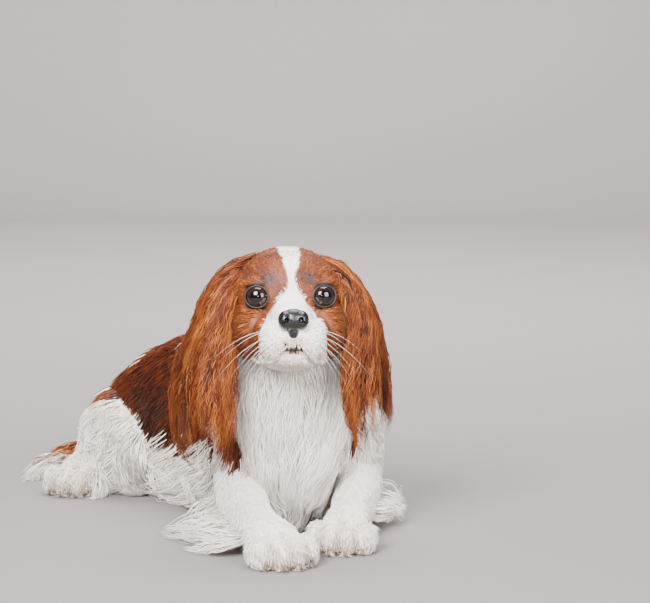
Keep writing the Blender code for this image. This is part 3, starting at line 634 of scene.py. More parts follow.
def strands(name, path, facing, width, thickness, marks, tone, stain_and_toe_shade, root_uv):
    """One mesh of closed, tapered strands. path is (count, rings + 1, 3), with the tips last."""
    count, rings = path.shape[0], path.shape[1] - 1
    path = path.copy()
    path[..., 2] = np.maximum(path[..., 2], FLOOR_CLEARANCE)
    ahead = unit(np.diff(path, axis=1))
    if facing.ndim == 2:
        facing = np.repeat(facing[:, None, :], rings, 1)
    across = unit(np.cross(ahead, facing))
    rise = np.cross(across, ahead)
    s = np.arange(rings) / rings
    swell = (0.75 + 0.5 * np.sin(np.pi * np.minimum(s * 1.6, 1))) * (1 - s**2.2)
    half = width[:, None] / 2 * swell
    high = thickness[:, None] * swell
    corner = np.empty((count, rings, 3, 3))
    corner[:, :, 0] = path[:, :-1] - across * half[..., None]
    corner[:, :, 1] = path[:, :-1] + across * half[..., None]
    corner[:, :, 2] = path[:, :-1] + rise * high[..., None]
    verts = np.concatenate([corner.reshape(count, rings * 3, 3), path[:, -1:]], 1)
    verts[..., 2] = np.maximum(verts[..., 2], LOWEST_HAIR)
    per = rings * 3 + 1
    faces = (strand_faces(rings)[None] + np.arange(count)[:, None, None] * per).reshape(-1, 3)
    mesh = bpy.data.meshes.new(name)
    mesh.vertices.add(count * per)
    mesh.vertices.foreach_set("co", (verts.reshape(-1, 3) + np.array(SHIFT)).astype(np.float32).ravel())
    mesh.loops.add(faces.size)
    mesh.loops.foreach_set("vertex_index", faces.ravel().astype(np.int32))
    mesh.polygons.add(len(faces))
    mesh.polygons.foreach_set("loop_start", np.arange(0, faces.size, 3, dtype=np.int32))
    mesh.update(calc_edges=True)
    mesh.shade_smooth()
    u = np.append(np.tile((0, 1, 0.5), rings), 0.5) - 0.5
    v = np.append(np.repeat(s, 3), 1) - 0.5
    uv = root_uv[:, None, :] + np.stack([u, v], 1)[None] * PATCH
    layer = mesh.uv_layers.new(name="OFBake")
    layer.data.foreach_set("uv", uv.reshape(-1, 2)[faces.ravel()].astype(np.float32).ravel())
    coat = np.empty((count, per, 4), np.float32)
    coat[..., 0] = marks[:, None] if marks.ndim == 1 else marks
    coat[..., 1] = tone[:, None]
    coat[..., 2] = (v + 0.5)[None]
    coat[..., 3] = stain_and_toe_shade[:, None]
    mesh.attributes.new("coat", "FLOAT_COLOR", "POINT").data.foreach_set("color", coat.ravel())
    made = add_object(name, mesh)
    mesh.materials.append(fur_material())
    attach(made, "root")
    return made


class Surface:
    """The skin's triangles as arrays, to place roots on."""

    def __init__(self, skin):
        mesh = skin.data
        mesh.calc_loop_triangles()
        count = len(mesh.loop_triangles)
        corners = np.empty(count * 3, np.int32)
        mesh.loop_triangles.foreach_get("vertices", corners)
        loops = np.empty(count * 3, np.int32)
        mesh.loop_triangles.foreach_get("loops", loops)
        co = np.empty(len(mesh.vertices) * 3)
        mesh.vertices.foreach_get("co", co)
        normals = np.empty(len(mesh.vertices) * 3)
        mesh.vertices.foreach_get("normal", normals)
        uv = np.empty(len(mesh.loops) * 2)
        mesh.uv_layers["OFBake"].data.foreach_get("uv", uv)
        self.co = co.reshape(-1, 3)
        self.tri = corners.reshape(-1, 3)
        self.corner = self.co[self.tri]
        self.normal = normals.reshape(-1, 3)[self.tri]
        self.uv = uv.reshape(-1, 2)[loops.reshape(-1, 3)]
        self.middle = self.corner.mean(1)
        edges = self.corner[:, 1:] - self.corner[:, :1]
        self.area = np.linalg.norm(np.cross(edges[:, 0], edges[:, 1]), axis=1) / 2
        self.part = part_at(self.middle)
        self.tree = BVHTree.FromPolygons(self.co.tolist(), self.tri.tolist())

    def sample(self, weight, count):
        """Roots spread over the triangles by area times weight."""
        chance = self.area * weight
        pick = dice.choice(len(chance), count, p=chance / chance.sum())
        a, b = dice.random((2, count))
        a, b = np.where(a + b > 1, 1 - a, a), np.where(a + b > 1, 1 - b, b)
        mix = np.stack([1 - a - b, a, b], 1)[..., None]
        root = (self.corner[pick] * mix).sum(1)
        return root, unit((self.normal[pick] * mix).sum(1)), (self.uv[pick] * mix).sum(1), self.part[pick]

    def uv_near(self, points):
        found = [self.tree.find_nearest(point)[2] for point in points.tolist()]
        return self.uv[np.array(found)].mean(1)


def comb(points, normals, part):
    """The way the coat lies: back from the nose on the head, else along the limbs and down."""
    flow = np.zeros((len(points), 3))
    for name in PARTS:
        _, _, height, ahead = nearest_on(points, name)
        weight = np.exp(-np.maximum(height + 0.006, 0) / 0.012)
        flow += ahead * weight[:, None]
    flow = unit(flow)
    flow[:, 2] -= 0.75
    at = in_head(points)
    away = at - (0, -0.034, -0.022)
    away[:, 0] *= 1.3
    away[:, 2] -= 0.012
    on_head = unit(away) @ TO_HEAD[:3, :3]
    flow = np.where((part == -1)[:, None], on_head, flow)
    flow = flow - normals * (flow * normals).sum(1)[:, None]
    return unit(flow)


def fur(name, surface, weight, count, length, width, rise, wave, rings, lean=0.35):
    """Short fur over a part of the skin. length may be a function of the roots."""
    root, normal, uv, part = surface.sample(weight, count)
    long = length(root, part) if callable(length) else np.full(count, length)
    long = long * dice.uniform(0.75, 1.25, count)
    lie = comb(root, normal, part)
    side = np.cross(normal, lie)
    swirl = ripple(root, 0.018, 2.0)[:, None] * lean + dice.normal(0, 0.13, (count, 1))
    lie = unit(lie + side * swirl)
    side = np.cross(normal, lie)
    s = np.linspace(0, 1, rings + 1)[None, :, None]
    bend = wave * np.sin(math.tau * (1.1 * s + dice.random((count, 1, 1)))) * s
    grow = rise * dice.uniform(0.6, 1.4, (count, 1, 1))
    path = root[:, None] - normal[:, None] * 0.0006
    path = path + long[:, None, None] * (
        lie[:, None] * (s - 0.08 * s**2) + normal[:, None] * grow * (s - 0.62 * s**2) + side[:, None] * bend
    )
    path[..., 2] -= long[:, None] * 0.10 * s[..., 0] ** 2
    marks = (chestnut(root, part) + dice.normal(0, 0.10, count) > 0.5).astype(float)
    marks = np.maximum(marks, lip_shade(root) > 0.5)
    tone = tone_at(root, part) + dice.normal(0, 1, count) * np.where(part == -1, 0.13, 0.08)
    tone = tone - 0.9 * lip_shade(root)
    wide = width * dice.uniform(0.7, 1.3, count)
    return strands(name, path, normal, wide, wide * 0.36, marks, tone, stain_and_toe_shade_at(root, part), uv)


def tone_at(points, part):
    """How light the coat is, from 0 to 1, before each tuft's own difference."""
    tone = 0.5 + 0.12 * ripple(points, 0.016, 1.0)
    along, turn, _, _ = nearest_on(points, "torso")
    deep = np.exp(-(((along - 0.50) / 0.10) ** 2) - ((turn - 168) / 30) ** 2)
    deep += np.exp(-(((along - 0.50) / 0.10) ** 2) - ((turn - 12) / 30) ** 2)
    body = 0.30 - 0.26 * deep + 0.10 * ripple(points, 0.02, 3.0)
    at = in_head(points)
    brow = np.exp(-((np.abs(at[:, 0]) - 0.017) / 0.007) ** 2 - ((at[:, 2] - 0.014) / 0.006) ** 2)
    under = np.exp(-((np.abs(at[:, 0]) - 0.034) / 0.010) ** 2 - ((at[:, 2] + 0.018) / 0.010) ** 2)
    face = 0.52 - 0.30 * brow + 0.10 * under + 0.08 * ripple(points, 0.010, 4.0)
    return np.where(part == -1, face, np.where(part <= 1, body, tone))


def lip_shade(points):
    """The short dark hair at the middle of the upper lip, and a freckle beside it."""
    at = in_head(points)
    middle = np.hypot(at[:, 0] / 0.0072, (at[:, 2] + 0.0425 + np.abs(at[:, 0]) * 0.12) / 0.0032)
    freckle = np.hypot(at[:, 0] + 0.0066, at[:, 2] + 0.0385) / 0.0018
    return smooth_step(1.15, 0.85, np.minimum(middle, freckle)) * (at[:, 1] < -0.015)


def stain_and_toe_shade_at(points, part):
    """Beige on the toes and faint pink round the lips, from 0 to 1; the beige between the toes and near the
    floor is painted shade.
    """
    made = pink_skin(points) * 0.25
    for name in PAWS:
        placed = np.array(toe_placement(name).inverted())
        at = points @ placed[:3, :3].T + placed[:3, 3]
        gap = np.abs(np.abs(np.abs(at[:, 0]) - 0.007) - 0.007)
        front = smooth_step(0.012, -0.006, at[:, 1])
        # Painted shade: the beige deepens in the gaps between the toes and towards the floor.
        between = smooth_step(0.0045, 0.0012, gap)
        low = smooth_step(0.010, 0.003, at[:, 2])
        toe = front * (0.12 + 0.50 * between + 0.30 * low) * (0.7 + 0.5 * ripple(points, 0.005, 5.0))
        made = np.where(part == PARTS.index(name), np.clip(toe, 0, 1), made)
    return made


def spots_on(name, along, turn, out):
    """Points on a guide tube and the way out from it there. All three are arrays of one shape."""
    stations, up = GUIDES[name]
    table = np.array(stations)
    spot = along * (len(table) - 1)
    low = np.clip(np.floor(spot).astype(int), 0, len(table) - 2)
    share = (spot - low)[..., None]
    at = table[low] + (table[low + 1] - table[low]) * share
    ahead = table[low + 1][..., :3] - table[low][..., :3]
    across = unit(np.cross(ahead, np.array(up)))
    rise = unit(np.cross(across, ahead))
    angle = np.radians(turn)[..., None]
    reach = across * np.cos(angle) * np.maximum(at[..., 3:4], 0.004)
    reach = reach + rise * np.sin(angle) * np.maximum(at[..., 4:5], 0.004)
    return at[..., :3] + reach * out[..., None], unit(reach)


def locks(name, surface, guide, count, each, root, tip, rings,
          spread=(0.05, 9, 0.10), wave=0.0022, pitch=0.030, width=0.0010, marking=None, base=0.45):
    """Long hair in wavy locks that narrow to their tips.

    root and tip give, each as (low, high): the share of the guide's length, the turn round it in degrees
    and the distance out as a share of its half sizes. A lock keeps its place between low and high from
    its root to its tip, save for the share of the length, which is drawn afresh.
    """
    place = dice.random(count)
    pull = dice.random(count)

    def ends(pairs):
        shares = (dice.random(count), place, pull)
        return np.stack([low + (high - low) * share for (low, high), share in zip(pairs, shares)], 1)

    start = ends(root)
    stop = ends(tip)
    owner = np.repeat(np.arange(count), each)
    total = count * each
    s = np.linspace(0, 1, rings + 1)[None]
    ease = np.stack([s, s, s**0.6], 2)
    mid = start[owner][:, None] + (stop - start)[owner][:, None] * ease
    loose = dice.normal(0, 1, (total, 1, 3)) * np.array(spread)
    mid = mid + loose * (1 - 0.75 * s[..., None] ** 1.3)
    short = dice.uniform(0.85, 1.04, (total, 1)) * dice.uniform(0.74, 1.0, count)[owner, None]
    mid[..., 0] = start[owner, None, 0] + (mid[..., 0] - start[owner, None, 0]) * short
    path, out = spots_on(guide, mid[..., 0], mid[..., 1], mid[..., 2])
    length = np.linalg.norm(np.diff(path, axis=1), axis=2).sum(1)
    phase = dice.random(count)[owner][:, None] + dice.normal(0, 0.05, (total, 1))
    turns = (length / pitch * dice.uniform(0.8, 1.2, count)[owner])[:, None]
    sway = np.sin(math.tau * (phase + turns * s)) * wave * np.minimum(s * 2.5, 1)
    course = unit(np.gradient(path, axis=1))
    path = path + np.cross(course, out) * sway[..., None]
    lift = np.cos(math.tau * (phase + turns * s)) * wave * 0.45 * np.minimum(s * 2, 1)
    path = path + out * lift[..., None]
    path[..., 2] = np.maximum(path[..., 2], FLOOR_CLEARANCE + dice.uniform(0, 0.004, (total, 1)))
    facing = out[:, :-1].copy()
    facing[..., 2] += np.clip(1 - path[:, :-1, 2] / 0.012, 0, 1) * 2
    uv = surface.uv_near(path[:, 0])
    part = part_at(path[:, 0])
    if marking is None:
        marks = (chestnut(path[:, 0], part) > 0.5).astype(float)
    elif callable(marking):
        marks = marking(path)
    else:
        marks = np.full(total, float(marking))
    tone = base + dice.normal(0, 0.15, count)[owner] + dice.normal(0, 0.09, total)
    wide = width * dice.uniform(0.6, 1.4, total)
    stain_and_toe_shade = np.zeros(total)
    return strands(name, path, unit(facing), wide, wide * 0.36, marks, tone, stain_and_toe_shade, uv)


# Materials

def new_material(name):
    material = bpy.data.materials.new(name)
    material.use_nodes = True
    return material, material.node_tree.nodes, material.node_tree.links


def set_inputs(surface, values):
    for label, value in values.items():
        surface.inputs[label].default_value = value


def attribute(nodes, name):
    node = nodes.new("ShaderNodeAttribute")
    node.attribute_name = name
    return node


def channels_of(nodes, links, colour):
    node = nodes.new("ShaderNodeSeparateColor")
    links.new(colour, node.inputs[0])
    return node.outputs


def add_bump(nodes, links, height, strength, distance, invert=False):
    node = nodes.new("ShaderNodeBump")
    node.invert = invert
    node.inputs["Strength"].default_value = strength
    node.inputs["Distance"].default_value = distance
    links.new(height, node.inputs["Height"])
    links.new(node.outputs[0], nodes["Principled BSDF"].inputs["Normal"])


def mix(nodes, links, factor, a, b):
    """A colour mix. a and b are sockets or sRGB hex colours."""
    node = nodes.new("ShaderNodeMix")
    node.data_type = "RGBA"
    for socket, value in ((node.inputs[6], a), (node.inputs[7], b)):
        if isinstance(value, str):
            socket.default_value = linear(value)
        else:
            links.new(value, socket)
    links.new(factor, node.inputs[0])
    return node.outputs[2]


def ramp(nodes, links, value, stops):
    node = nodes.new("ShaderNodeValToRGB")
    points = node.color_ramp.elements
    while len(points) < len(stops):
        points.new(0.5)
    for point, (place, code) in zip(points, stops):
        point.position = place
        point.color = linear(code)
    links.new(value, node.inputs[0])
    return node.outputs[0]


def sum_of(nodes, links, *terms):
    """The sum of (socket, weight) pairs and a constant."""
    total = terms[-1]
    for socket, weight in terms[:-1]:
        node = nodes.new("ShaderNodeMath")
        node.operation = "MULTIPLY_ADD"
        links.new(socket, node.inputs[0])
        node.inputs[1].default_value = weight
        if isinstance(total, float):
            node.inputs[2].default_value = total
        else:
            links.new(total, node.inputs[2])
        total = node.outputs[0]
    return total


def noise(nodes, links, size):
    """A noise whose features are about that many metres across."""
    place = nodes.new("ShaderNodeTexCoord")
    node = nodes.new("ShaderNodeTexNoise")
    node.inputs["Scale"].default_value = 1 / size
    links.new(place.outputs["Object"], node.inputs["Vector"])
    return node.outputs["Fac"]


def coat_colour(nodes, links):
    """The markings, which skin and coat share: marking, tone, place along the tuft, and stain with painted
    toe shade.
    """
    read = attribute(nodes, "coat")
    marking, tone, tip = channels_of(nodes, links, read.outputs["Color"])
    # The tip term makes each tuft lighter from root to tip: painted shade at the roots and painted
    # highlight at the tips.
    level = sum_of(nodes, links, (tone, 0.85), (tip, 0.22), (noise(nodes, links, 0.012), 0.25), -0.12)
    brown = ramp(nodes, links, level, (
        (0.0, "160601"), (0.22, "3E1503"), (0.5, "78340C"), (0.75, "AA5C1C"), (1.0, "E0A058"),
    ))
    pale = ramp(nodes, links, level, ((0.0, "F0E6D8"), (0.4, "FAF3E9"), (1.0, "FEFAF4")))
    # The beige is stain on the paw fronts and round the lips, deepened into painted shade between the toes
    # and near the floor.
    pale_with_stain_and_shade = mix(nodes, links, read.outputs["Alpha"], pale, "C9A383")
    return mix(nodes, links, marking, pale_with_stain_and_shade, brown)


MADE = {}


def fur_material():
    if "fur" not in MADE:
        material, nodes, links = new_material("coat")
        surface = nodes["Principled BSDF"]
        links.new(coat_colour(nodes, links), surface.inputs["Base Color"])
        set_inputs(surface, {
            "Roughness": 0.42, "Specular IOR Level": 0.22, "Sheen Weight": 0.04, "Sheen Roughness": 0.5,
        })
        MADE["fur"] = material
    return MADE["fur"]


def skin_material():
    material, nodes, links = new_material("skin_under_coat")
    surface = nodes["Principled BSDF"]
    colour = coat_colour(nodes, links)
    dark, pink, _ = channels_of(nodes, links, attribute(nodes, "bare").outputs["Color"])
    colour = mix(nodes, links, pink, colour, "D9B3A6")
    links.new(mix(nodes, links, dark, colour, "1A1110"), surface.inputs["Base Color"])
    surface.inputs["Roughness"].default_value = 0.55
    add_bump(nodes, links, noise(nodes, links, 0.0015), 0.4, 0.0006)
    return material


def leather_material():
    material, nodes, links = new_material("nose_leather")
    surface = nodes["Principled BSDF"]
    place = nodes.new("ShaderNodeTexCoord")
    cells = nodes.new("ShaderNodeTexVoronoi")
    cells.inputs["Scale"].default_value = 1 / 0.0011
    links.new(place.outputs["Object"], cells.inputs["Vector"])
    shade = sum_of(nodes, links, (noise(nodes, links, 0.004), 1.0), 0.0)
    links.new(ramp(nodes, links, shade, ((0.3, "080708"), (0.7, "141214"))), surface.inputs["Base Color"])
    rough = sum_of(nodes, links, (noise(nodes, links, 0.0035), 0.20), 0.18)
    links.new(rough, surface.inputs["Roughness"])
    set_inputs(surface, {"Specular IOR Level": 0.6, "Coat Weight": 0.25, "Coat Roughness": 0.18})
    add_bump(nodes, links, cells.outputs["Distance"], 0.55, 0.0003, invert=True)
    return material


def eye_material():
    material, nodes, links = new_material("eye")
    surface = nodes["Principled BSDF"]
    gaze = attribute(nodes, "gaze").outputs["Fac"]
    fibre = sum_of(nodes, links, (gaze, 1.0), (noise(nodes, links, 0.0012), 0.06), -0.03)
    colour = ramp(nodes, links, fibre, (
        (0.0, "020202"), (0.24, "030202"), (0.30, "1C100C"),
        (0.46, "2C1A14"), (0.54, "0C0706"), (0.66, "3A2E2A"),
    ))
    links.new(colour, surface.inputs["Base Color"])
    set_inputs(surface, {
        "Roughness": 0.12, "Specular IOR Level": 0.1, "Coat Weight": 1.0, "Coat Roughness": 0.015,
    })
    return material


def whisker_material():
    material, nodes, _ = new_material("whisker")
    set_inputs(nodes["Principled BSDF"], {"Base Color": linear("F4F1EC"), "Roughness": 0.4})
    return material


# Eyes, nose, whiskers and claws

def finish_piece(obj, material, slot, *nodes):
    obj.data.transform(Matrix.Translation(SHIFT))
    obj.data.materials.clear()
    obj.data.materials.append(material)
    obj.data.shade_smooth()
    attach(obj, "root")
    if nodes:
        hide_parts(*nodes)
    return obj


def build_eye(side, name, material):
    made = ball((0, 0, 0), (1, 1, 1), 64, 48)
    made.name = name + "_ball"
    gaze = eye_gaze(side)
    co = np.array([v.co for v in made.data.vertices])
    made.data.transform(gaze.to_track_quat("Z", "Y").to_matrix().to_4x4())
    angle = np.arccos(np.clip(co[:, 2], -1, 1)) / math.pi * 2
    made.data.attributes.new("gaze", "FLOAT", "POINT").data.foreach_set("value", angle.astype(np.float32))
    bulge = 1 + 0.045 * smooth_step(0.62, 0.30, angle)
    flat = np.empty(len(co) * 3)
    made.data.vertices.foreach_get("co", flat)
    flat = (flat.reshape(-1, 3) * bulge[:, None] * EYE_RADIUS).ravel()
    made.data.vertices.foreach_set("co", flat)
    made.data.transform(head_frame() @ Matrix.Translation(eye_centre(side)))
    return finish_piece(made, material, "eye", name)


def build_nose():
    x, y, z = NOSE_CENTRE
    half = NOSE_HALF
    rows = (
        ((x, y, z), (half - 0.0015, 0.0085, 0.0095), False),
        ((half * 0.56, y - 0.0015, z - 0.0005), (half * 0.46, 0.0080, 0.0082), True),
        ((x, y + 0.0026, z - 0.0095), (0.0052, 0.0066, 0.0078), False),
    )
    made = fuse("nose_pad", masses(rows), 0.00045, 6)
    for side in (-1, 1):
        nostril = ball((side * 0.0058, y - 0.0095, z - 0.0003), (0.0023, 0.0050, 0.0028), 24, 16)
        boolean(made, nostril, "DIFFERENCE")
        slit = ball((side * 0.0092, y - 0.0072, z - 0.0022), (0.0030, 0.0034, 0.0011), 20, 14)
        boolean(made, slit, "DIFFERENCE")
    course = (
        (0, y - 0.0102, z + 0.004, 0.0005, 0.0007),
        (0, y - 0.0100, z - 0.004, 0.0006, 0.0008),
        (0, y - 0.0060, z - 0.0130, 0.0006, 0.0008),
    )
    groove = tube(course, up=Vector((0, 1, 0)), sides=10)
    boolean(made, groove, "DIFFERENCE")
    soften(made, 0.4, 2)
    made.data.transform(head_frame())
    return finish_piece(made, leather_material(), "nose_leather", "nose")


def build_whiskers(surface):
    rows = []
    for side in (-1, 1):
        for row in range(3):
            for k in range(3):
                start = Vector((side * (0.015 + 0.0035 * k), -0.034 + 0.0035 * k, -0.029 - 0.0055 * row))
                start += Vector(dice.normal(0, 0.0007, 3))
                aim = Vector((side * (0.75 + 0.12 * k), -0.50 + 0.22 * k, -0.10 - 0.28 * row))
                rows.append((start, aim.normalized(), dice.uniform(0.028, 0.048)))
    placed = head_frame()
    turn = placed.to_3x3()
    s = np.linspace(0, 1, 8)[None, :, None]
    start = np.array([surface.tree.find_nearest(placed @ point)[0] for point, _, _ in rows])
    aim = np.array([turn @ way for _, way, _ in rows])
    long = np.array([length for _, _, length in rows])[:, None, None]
    path = start[:, None] + aim[:, None] * long * s
    path[..., 2] -= (long * 0.45 * s**2)[..., 0]
    count = len(rows)
    wide = np.full(count, 0.0002)
    made = strands("whiskers", path, np.tile((0.0, 0.0, 1.0), (count, 1)), wide, wide, np.zeros(count),
                   np.full(count, 0.9), np.zeros(count), surface.uv_near(start))
    made.data.materials.clear()
    made.data.materials.append(whisker_material())
    return made


def build_claws():
    material, nodes, links = new_material("claw")
    surface = nodes["Principled BSDF"]
    shade = ramp(nodes, links, noise(nodes, links, 0.004), ((0.3, "4A382C"), (0.7, "8A7360")))
    links.new(shade, surface.inputs["Base Color"])
    surface.inputs["Roughness"].default_value = 0.35
    pieces = []
    for name in PAWS:
        for spread, reach in zip(TOE_SPREAD, TOE_REACH):
            tip = -reach - TOE_SIZE[1] - 0.001
            stations = (
                (spread, tip + 0.009, 0.0062, 0.0017, 0.0018),
                (spread, tip + 0.004, 0.0064, 0.0016, 0.0017),
                (spread, tip + 0.0015, 0.0048, 0.0011, 0.0013),
                (spread, tip, 0.0022, 0.0004, 0.0005),
            )
            claw = tube(stations, sides=10)
            claw.data.transform(toe_placement(name))
            pieces.append(claw)
    return finish_piece(join(pieces, "claws"), material, "nose_leather")


# Everything is built

skin = build_skin()
surface = Surface(skin)


def weight_of(*names, where=None):
    chosen = np.zeros(len(surface.middle))
    for name in names:
        chosen[surface.part == (-1 if name == "head" else PARTS.index(name))] = 1
    if where is not None:
        chosen = chosen * where
    return chosen


ear_heights = [nearest_on(surface.middle, name)[2] for name in ("ear_right", "ear_left")]
clear_of_ears = smooth_step(0.006, 0.020, np.minimum(*ear_heights))
head_at = in_head(surface.middle)
nose_away = np.linalg.norm((head_at - np.array(NOSE_CENTRE)) / (1.30, 1.0, 1.0), axis=1)
bare = ((dark_skin(surface.middle) > 0.4) | (nose_away < 0.0092)).astype(int)
face = np.where(head_at[:, 1] < 0.018, 1.0, 0.0)
small = 1 + 0.9 * smooth_step(0.0, -0.02, head_at[:, 1])


def head_length(points, _):
    at = in_head(points)
    cheek = smooth_step(0.020, 0.036, np.abs(at[:, 0])) * smooth_step(0.0, -0.02, at[:, 2])
    back = smooth_step(-0.01, 0.05, at[:, 1])
    muzzle = smooth_step(0.000, -0.016, at[:, 1]) * smooth_step(-0.050, -0.044, at[:, 2])
    return 0.0062 + 0.0050 * cheek + 0.0060 * back - 0.0022 * muzzle


def leg_length(points, part):
    long = np.full(len(points), 0.0105)
    for name in PAWS:
        along = nearest_on(points, name)[0]
        shorter_down = 0.0125 - 0.0025 * smooth_step(0.6, 0.95, along)
        long = np.where(part == PARTS.index(name), shorter_down, long)
    return long


fur("fur_face", surface, weight_of("head", where=(1 - bare) * face * small), 17000, head_length, 0.00085,
    0.24, 0.03, 2, lean=0.12)
fur("fur_crown", surface, weight_of("head", where=(1 - bare) * (1 - face)), 9500, head_length, 0.0011,
    0.22, 0.04, 2, lean=0.15)
trunk_turn = nearest_on(surface.middle, "torso")[1]
on_right = ((trunk_turn > 90) & (trunk_turn < 270)).astype(float)
fur("fur_neck", surface, weight_of("neck", "ear_right", "ear_left"), 6500, 0.021, 0.0016, 0.36, 0.05, 3,
    lean=0.2)
for side, flank in (("right", on_right), ("left", 1 - on_right)):
    fur("fur_back_" + side, surface, weight_of("torso", where=flank * clear_of_ears), 11500, 0.024, 0.0016,
        0.34, 0.04, 3, lean=0.18)
for side in ("right", "left"):
    fur("fur_foreleg_" + side, surface, weight_of("foreleg_" + side, where=clear_of_ears), 9500, leg_length,
        0.00115, 0.30, 0.05, 2, lean=0.25)
    fur("fur_thigh_" + side, surface, weight_of("thigh_" + side), 6500, 0.024, 0.0016, 0.34, 0.04, 3,
        lean=0.18)
    fur("fur_paw_" + side, surface, weight_of("foot_" + side), 5000, leg_length, 0.00115, 0.32, 0.06, 2,
        lean=0.25)
fur("fur_tail", surface, weight_of("tail"), 2600, 0.018, 0.0013, 0.35, 0.08, 3)

for side in ("right", "left"):
    ear = "ear_" + side
    # The under layer of each ear gets a darker tone, painted shade of the hidden hair, and the top layer a
    # lighter one, painted light.
    locks("locks_" + ear + "_under", surface, ear, 70, 10, ((0.05, 0.50), (-10, 190), (0.40, 0.60)),
          ((0.55, 0.97), (-15, 195), (0.70, 0.85)), 8, marking=1, base=0.25, wave=0.003)
    locks("locks_" + ear, surface, ear, 125, 13, ((0.02, 0.60), (-15, 195), (0.55, 0.80)),
          ((0.50, 1.02), (-20, 200), (0.90, 1.06)), 10, marking=1, base=0.42,
          wave=0.0034, pitch=0.032, spread=(0.04, 6, 0.08))
    locks("locks_" + ear + "_top", surface, ear, 75, 12, ((0.0, 0.24), (15, 165), (0.6, 0.85)),
          ((0.28, 0.66), (0, 180), (0.95, 1.06)), 9, marking=1, base=0.48, wave=0.0024,
          spread=(0.04, 7, 0.08))
# Name, locks, root, tip, loose turns, wave, pitch and tone.
for name, count, root, tip, turns, wave, pitch, base in (
    ("ruff", 130, ((-0.12, 0.16), (15, 165), (0.66, 0.88)),
     ((0.14, 0.50), (-25, 205), (0.92, 1.05)), 7, 0.0022, 0.030, 0.66),
    ("bib_upper", 120, ((0.05, 0.42), (0, 180), (0.76, 0.92)),
     ((0.42, 0.78), (8, 172), (0.95, 1.08)), 7, 0.003, 0.045, 0.66),
    ("bib_lower", 110, ((0.34, 0.64), (10, 170), (0.68, 0.88)),
     ((0.66, 1.04), (35, 145), (0.90, 1.10)), 8, 0.004, 0.045, 0.64),
):
    locks("locks_" + name, surface, "bib", count, 20, root, tip, 8, marking=0, base=base,
          wave=wave, width=0.0009, spread=(0.04, turns, 0.05), pitch=pitch)


def mirrored(side, low, high):
    """Turns that are given for the right side, or the same on the left."""
    return (low, high) if side == "right" else (180 - low, 180 - high)


for side in ("right", "left"):
    locks("locks_skirt_" + side, surface, "torso", 95, 12, ((0.26, 0.78), mirrored(side, 192, 222),
          (0.92, 0.98)),
          ((0.30, 0.86), mirrored(side, 232, 250), (1.02, 1.20)), 8, spread=(0.012, 5, 0.04),
          base=0.6, wave=0.003, marking=0)
    locks("locks_fringe_" + side, surface, "torso", 70, 12, ((0.24, 0.66), mirrored(side, 206, 232),
          (0.90, 0.98)),
          ((0.26, 0.80), mirrored(side, 234, 244), (1.10, 1.42)), 8, spread=(0.010, 4, 0.04),
          base=0.6, wave=0.004, marking=0)
    thigh = "thigh_" + side
    locks("locks_" + thigh, surface, thigh, 90, 14, ((0.15, 0.80), mirrored(side, -30, 35), (0.84, 0.96)),
          ((0.05, 1.05), mirrored(side, -72, -40), (1.05, 1.32)), 9, spread=(0.03, 6, 0.05),
          marking=0, base=0.62, wave=0.004, pitch=0.04)
# Name, guide, locks, hairs in each, root, tip, rings and how far hairs stray.
for name, guide, count, each, root, tip, rings, spread in (
    ("foreleg_right", "foreleg_right", 30, 11, ((0.36, 0.80), (335, 352), (0.70, 0.90)),
     ((0.40, 0.74), (337, 343), (1.3, 3.3)), 9, (0.015, 5, 0.08)),
    ("foreleg_left", "foreleg_left", 20, 11, ((0.34, 0.64), (188, 205), (0.70, 0.90)),
     ((0.25, 0.54), (197, 203), (1.1, 2.0)), 9, (0.015, 5, 0.08)),
    ("elbow_right", "foreleg_right", 26, 10, ((0.37, 0.50), (170, 215), (0.75, 0.90)),
     ((0.50, 0.62), (190, 225), (1.2, 1.7)), 8, (0.02, 6, 0.08)),
    ("elbow_left", "foreleg_left", 26, 10, ((0.37, 0.50), (-35, 10), (0.75, 0.90)),
     ((0.50, 0.62), (-45, -10), (1.2, 1.7)), 8, (0.02, 6, 0.08)),
):
    locks("locks_" + name, surface, guide, count, each, root, tip, rings, spread=spread,
          marking=0, base=0.6)
locks("locks_tail", surface, "tail", 60, 12, ((0.15, 0.70), (0, 360), (0.55, 0.80)),
      ((0.55, 1.15), (-10, 350), (0.9, 1.5)), 8, spread=(0.03, 10, 0.12), base=0.5,
      marking=lambda path: (nearest_on(path[:, 0], "tail")[0] < 0.42).astype(float))



def paint(name, *channels):
    values = np.stack(channels, 1).astype(np.float32)
    skin.data.attributes.new(name, "FLOAT_COLOR", "POINT").data.foreach_set("color", values.ravel())


co = surface.co
part = part_at(co)
# The skin under the coat gets the coat's markings a tone darker and at the root end of the tuft scale:
# painted shade under the hair.
paint("coat", chestnut(co, part), tone_at(co, part) - 0.15, np.full(len(co), 0.2), stain_and_toe_shade_at(co, part))
dark = np.maximum(dark_skin(co), lip_shade(co))
paint("bare", dark, pink_skin(co) * 0.7, np.zeros(len(co)), np.ones(len(co)))
build_whiskers(surface)
finish_piece(skin, skin_material(), "body_coat", "head", "neck_and_chest", "torso", "foreleg_right",
             "foreleg_left", "hindleg_right", "hindleg_left", "tail", "ear_right", "ear_left")
eyes = eye_material()
build_eye(-1, "eye_right", eyes)
build_eye(1, "eye_left", eyes)
build_nose()
build_claws()


# Floor, light and camera

def area_light(name, location, target, size, power, shape="SQUARE"):
    light = bpy.data.lights.new(name, "AREA")
    light.shape = shape
    light.size = size
    light.energy = power
    made = add_object(name, light)
    made.location = Vector(location) + SHIFT
    made.rotation_euler = (Vector(target) - Vector(location)).to_track_quat("-Z", "Y").to_euler()


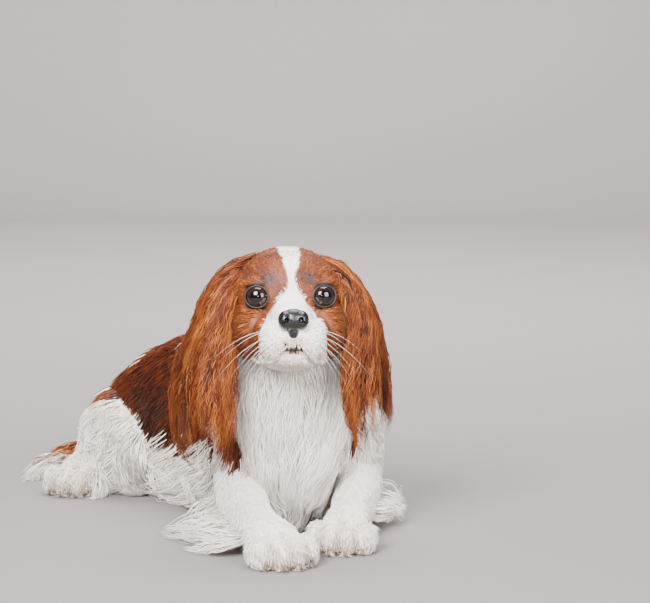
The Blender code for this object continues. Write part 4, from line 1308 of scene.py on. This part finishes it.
def build_stage():
    """A floor that curves up into a wall."""
    reach, bend, curve, top = 6.0, 3.2, 0.8, 4.0
    profile = [(-reach, 0.0), (bend, 0.0)]
    for angle in np.linspace(0.1, math.pi / 2, 12):
        profile.append((bend + curve * math.sin(angle), curve - curve * math.cos(angle)))
    profile.append((bend + curve, top))
    verts = [(x, y, z) for x in (-reach, reach) for y, z in profile]
    n = len(profile)
    faces = [(i, i + n, i + n + 1, i + 1) for i in range(n - 1)]
    mesh = bpy.data.meshes.new("backdrop")
    mesh.from_pydata(verts, [], faces)
    mesh.shade_smooth()
    made = add_object("backdrop", mesh)
    material, nodes, links = new_material("pale_floor")
    surface = nodes["Principled BSDF"]
    tint = ramp(nodes, links, noise(nodes, links, 1.5), ((0.3, "827C7A"), (0.7, "888280")))
    links.new(tint, surface.inputs["Base Color"])
    surface.inputs["Roughness"].default_value = 0.75
    mesh.materials.append(material)


build_stage()
area_light("key", (-0.8, -1.9, 1.6), (-0.03, 0.02, 0.12), 1.1, 190)
area_light("fill", (1.4, -1.6, 0.9), (0, 0, 0.12), 1.2, 75)
area_light("top", (0.1, 0.5, 1.9), (-0.05, 0.1, 0.1), 1.2, 46)
area_light("wall", (0, 1.6, 2.6), (0, 4.0, 0.9), 2.4, 330)
area_light("front", (0.0, -2.1, 0.62), (0, 0, 0.2), 0.22, 5, "DISK")
world = bpy.data.worlds.new("studio")
world.use_nodes = True
world.node_tree.nodes["Background"].inputs[0].default_value = linear("C9C9CE")
world.node_tree.nodes["Background"].inputs[1].default_value = 0.45
bpy.context.scene.world = world

PICTURE_WIDTH = 650
FOCAL_LENGTH = 2325
camera = bpy.data.cameras.new("camera")
camera.sensor_width = 36
camera.lens = camera.sensor_width * FOCAL_LENGTH / PICTURE_WIDTH
camera.clip_start = 0.05
camera.clip_end = 50
view = add_object("camera", camera)
view.location = Vector((0.0293, -2.0, 0.44)) + SHIFT
view.rotation_euler = (math.pi / 2 - 0.1177, 0, 0)
bpy.context.scene.camera = view
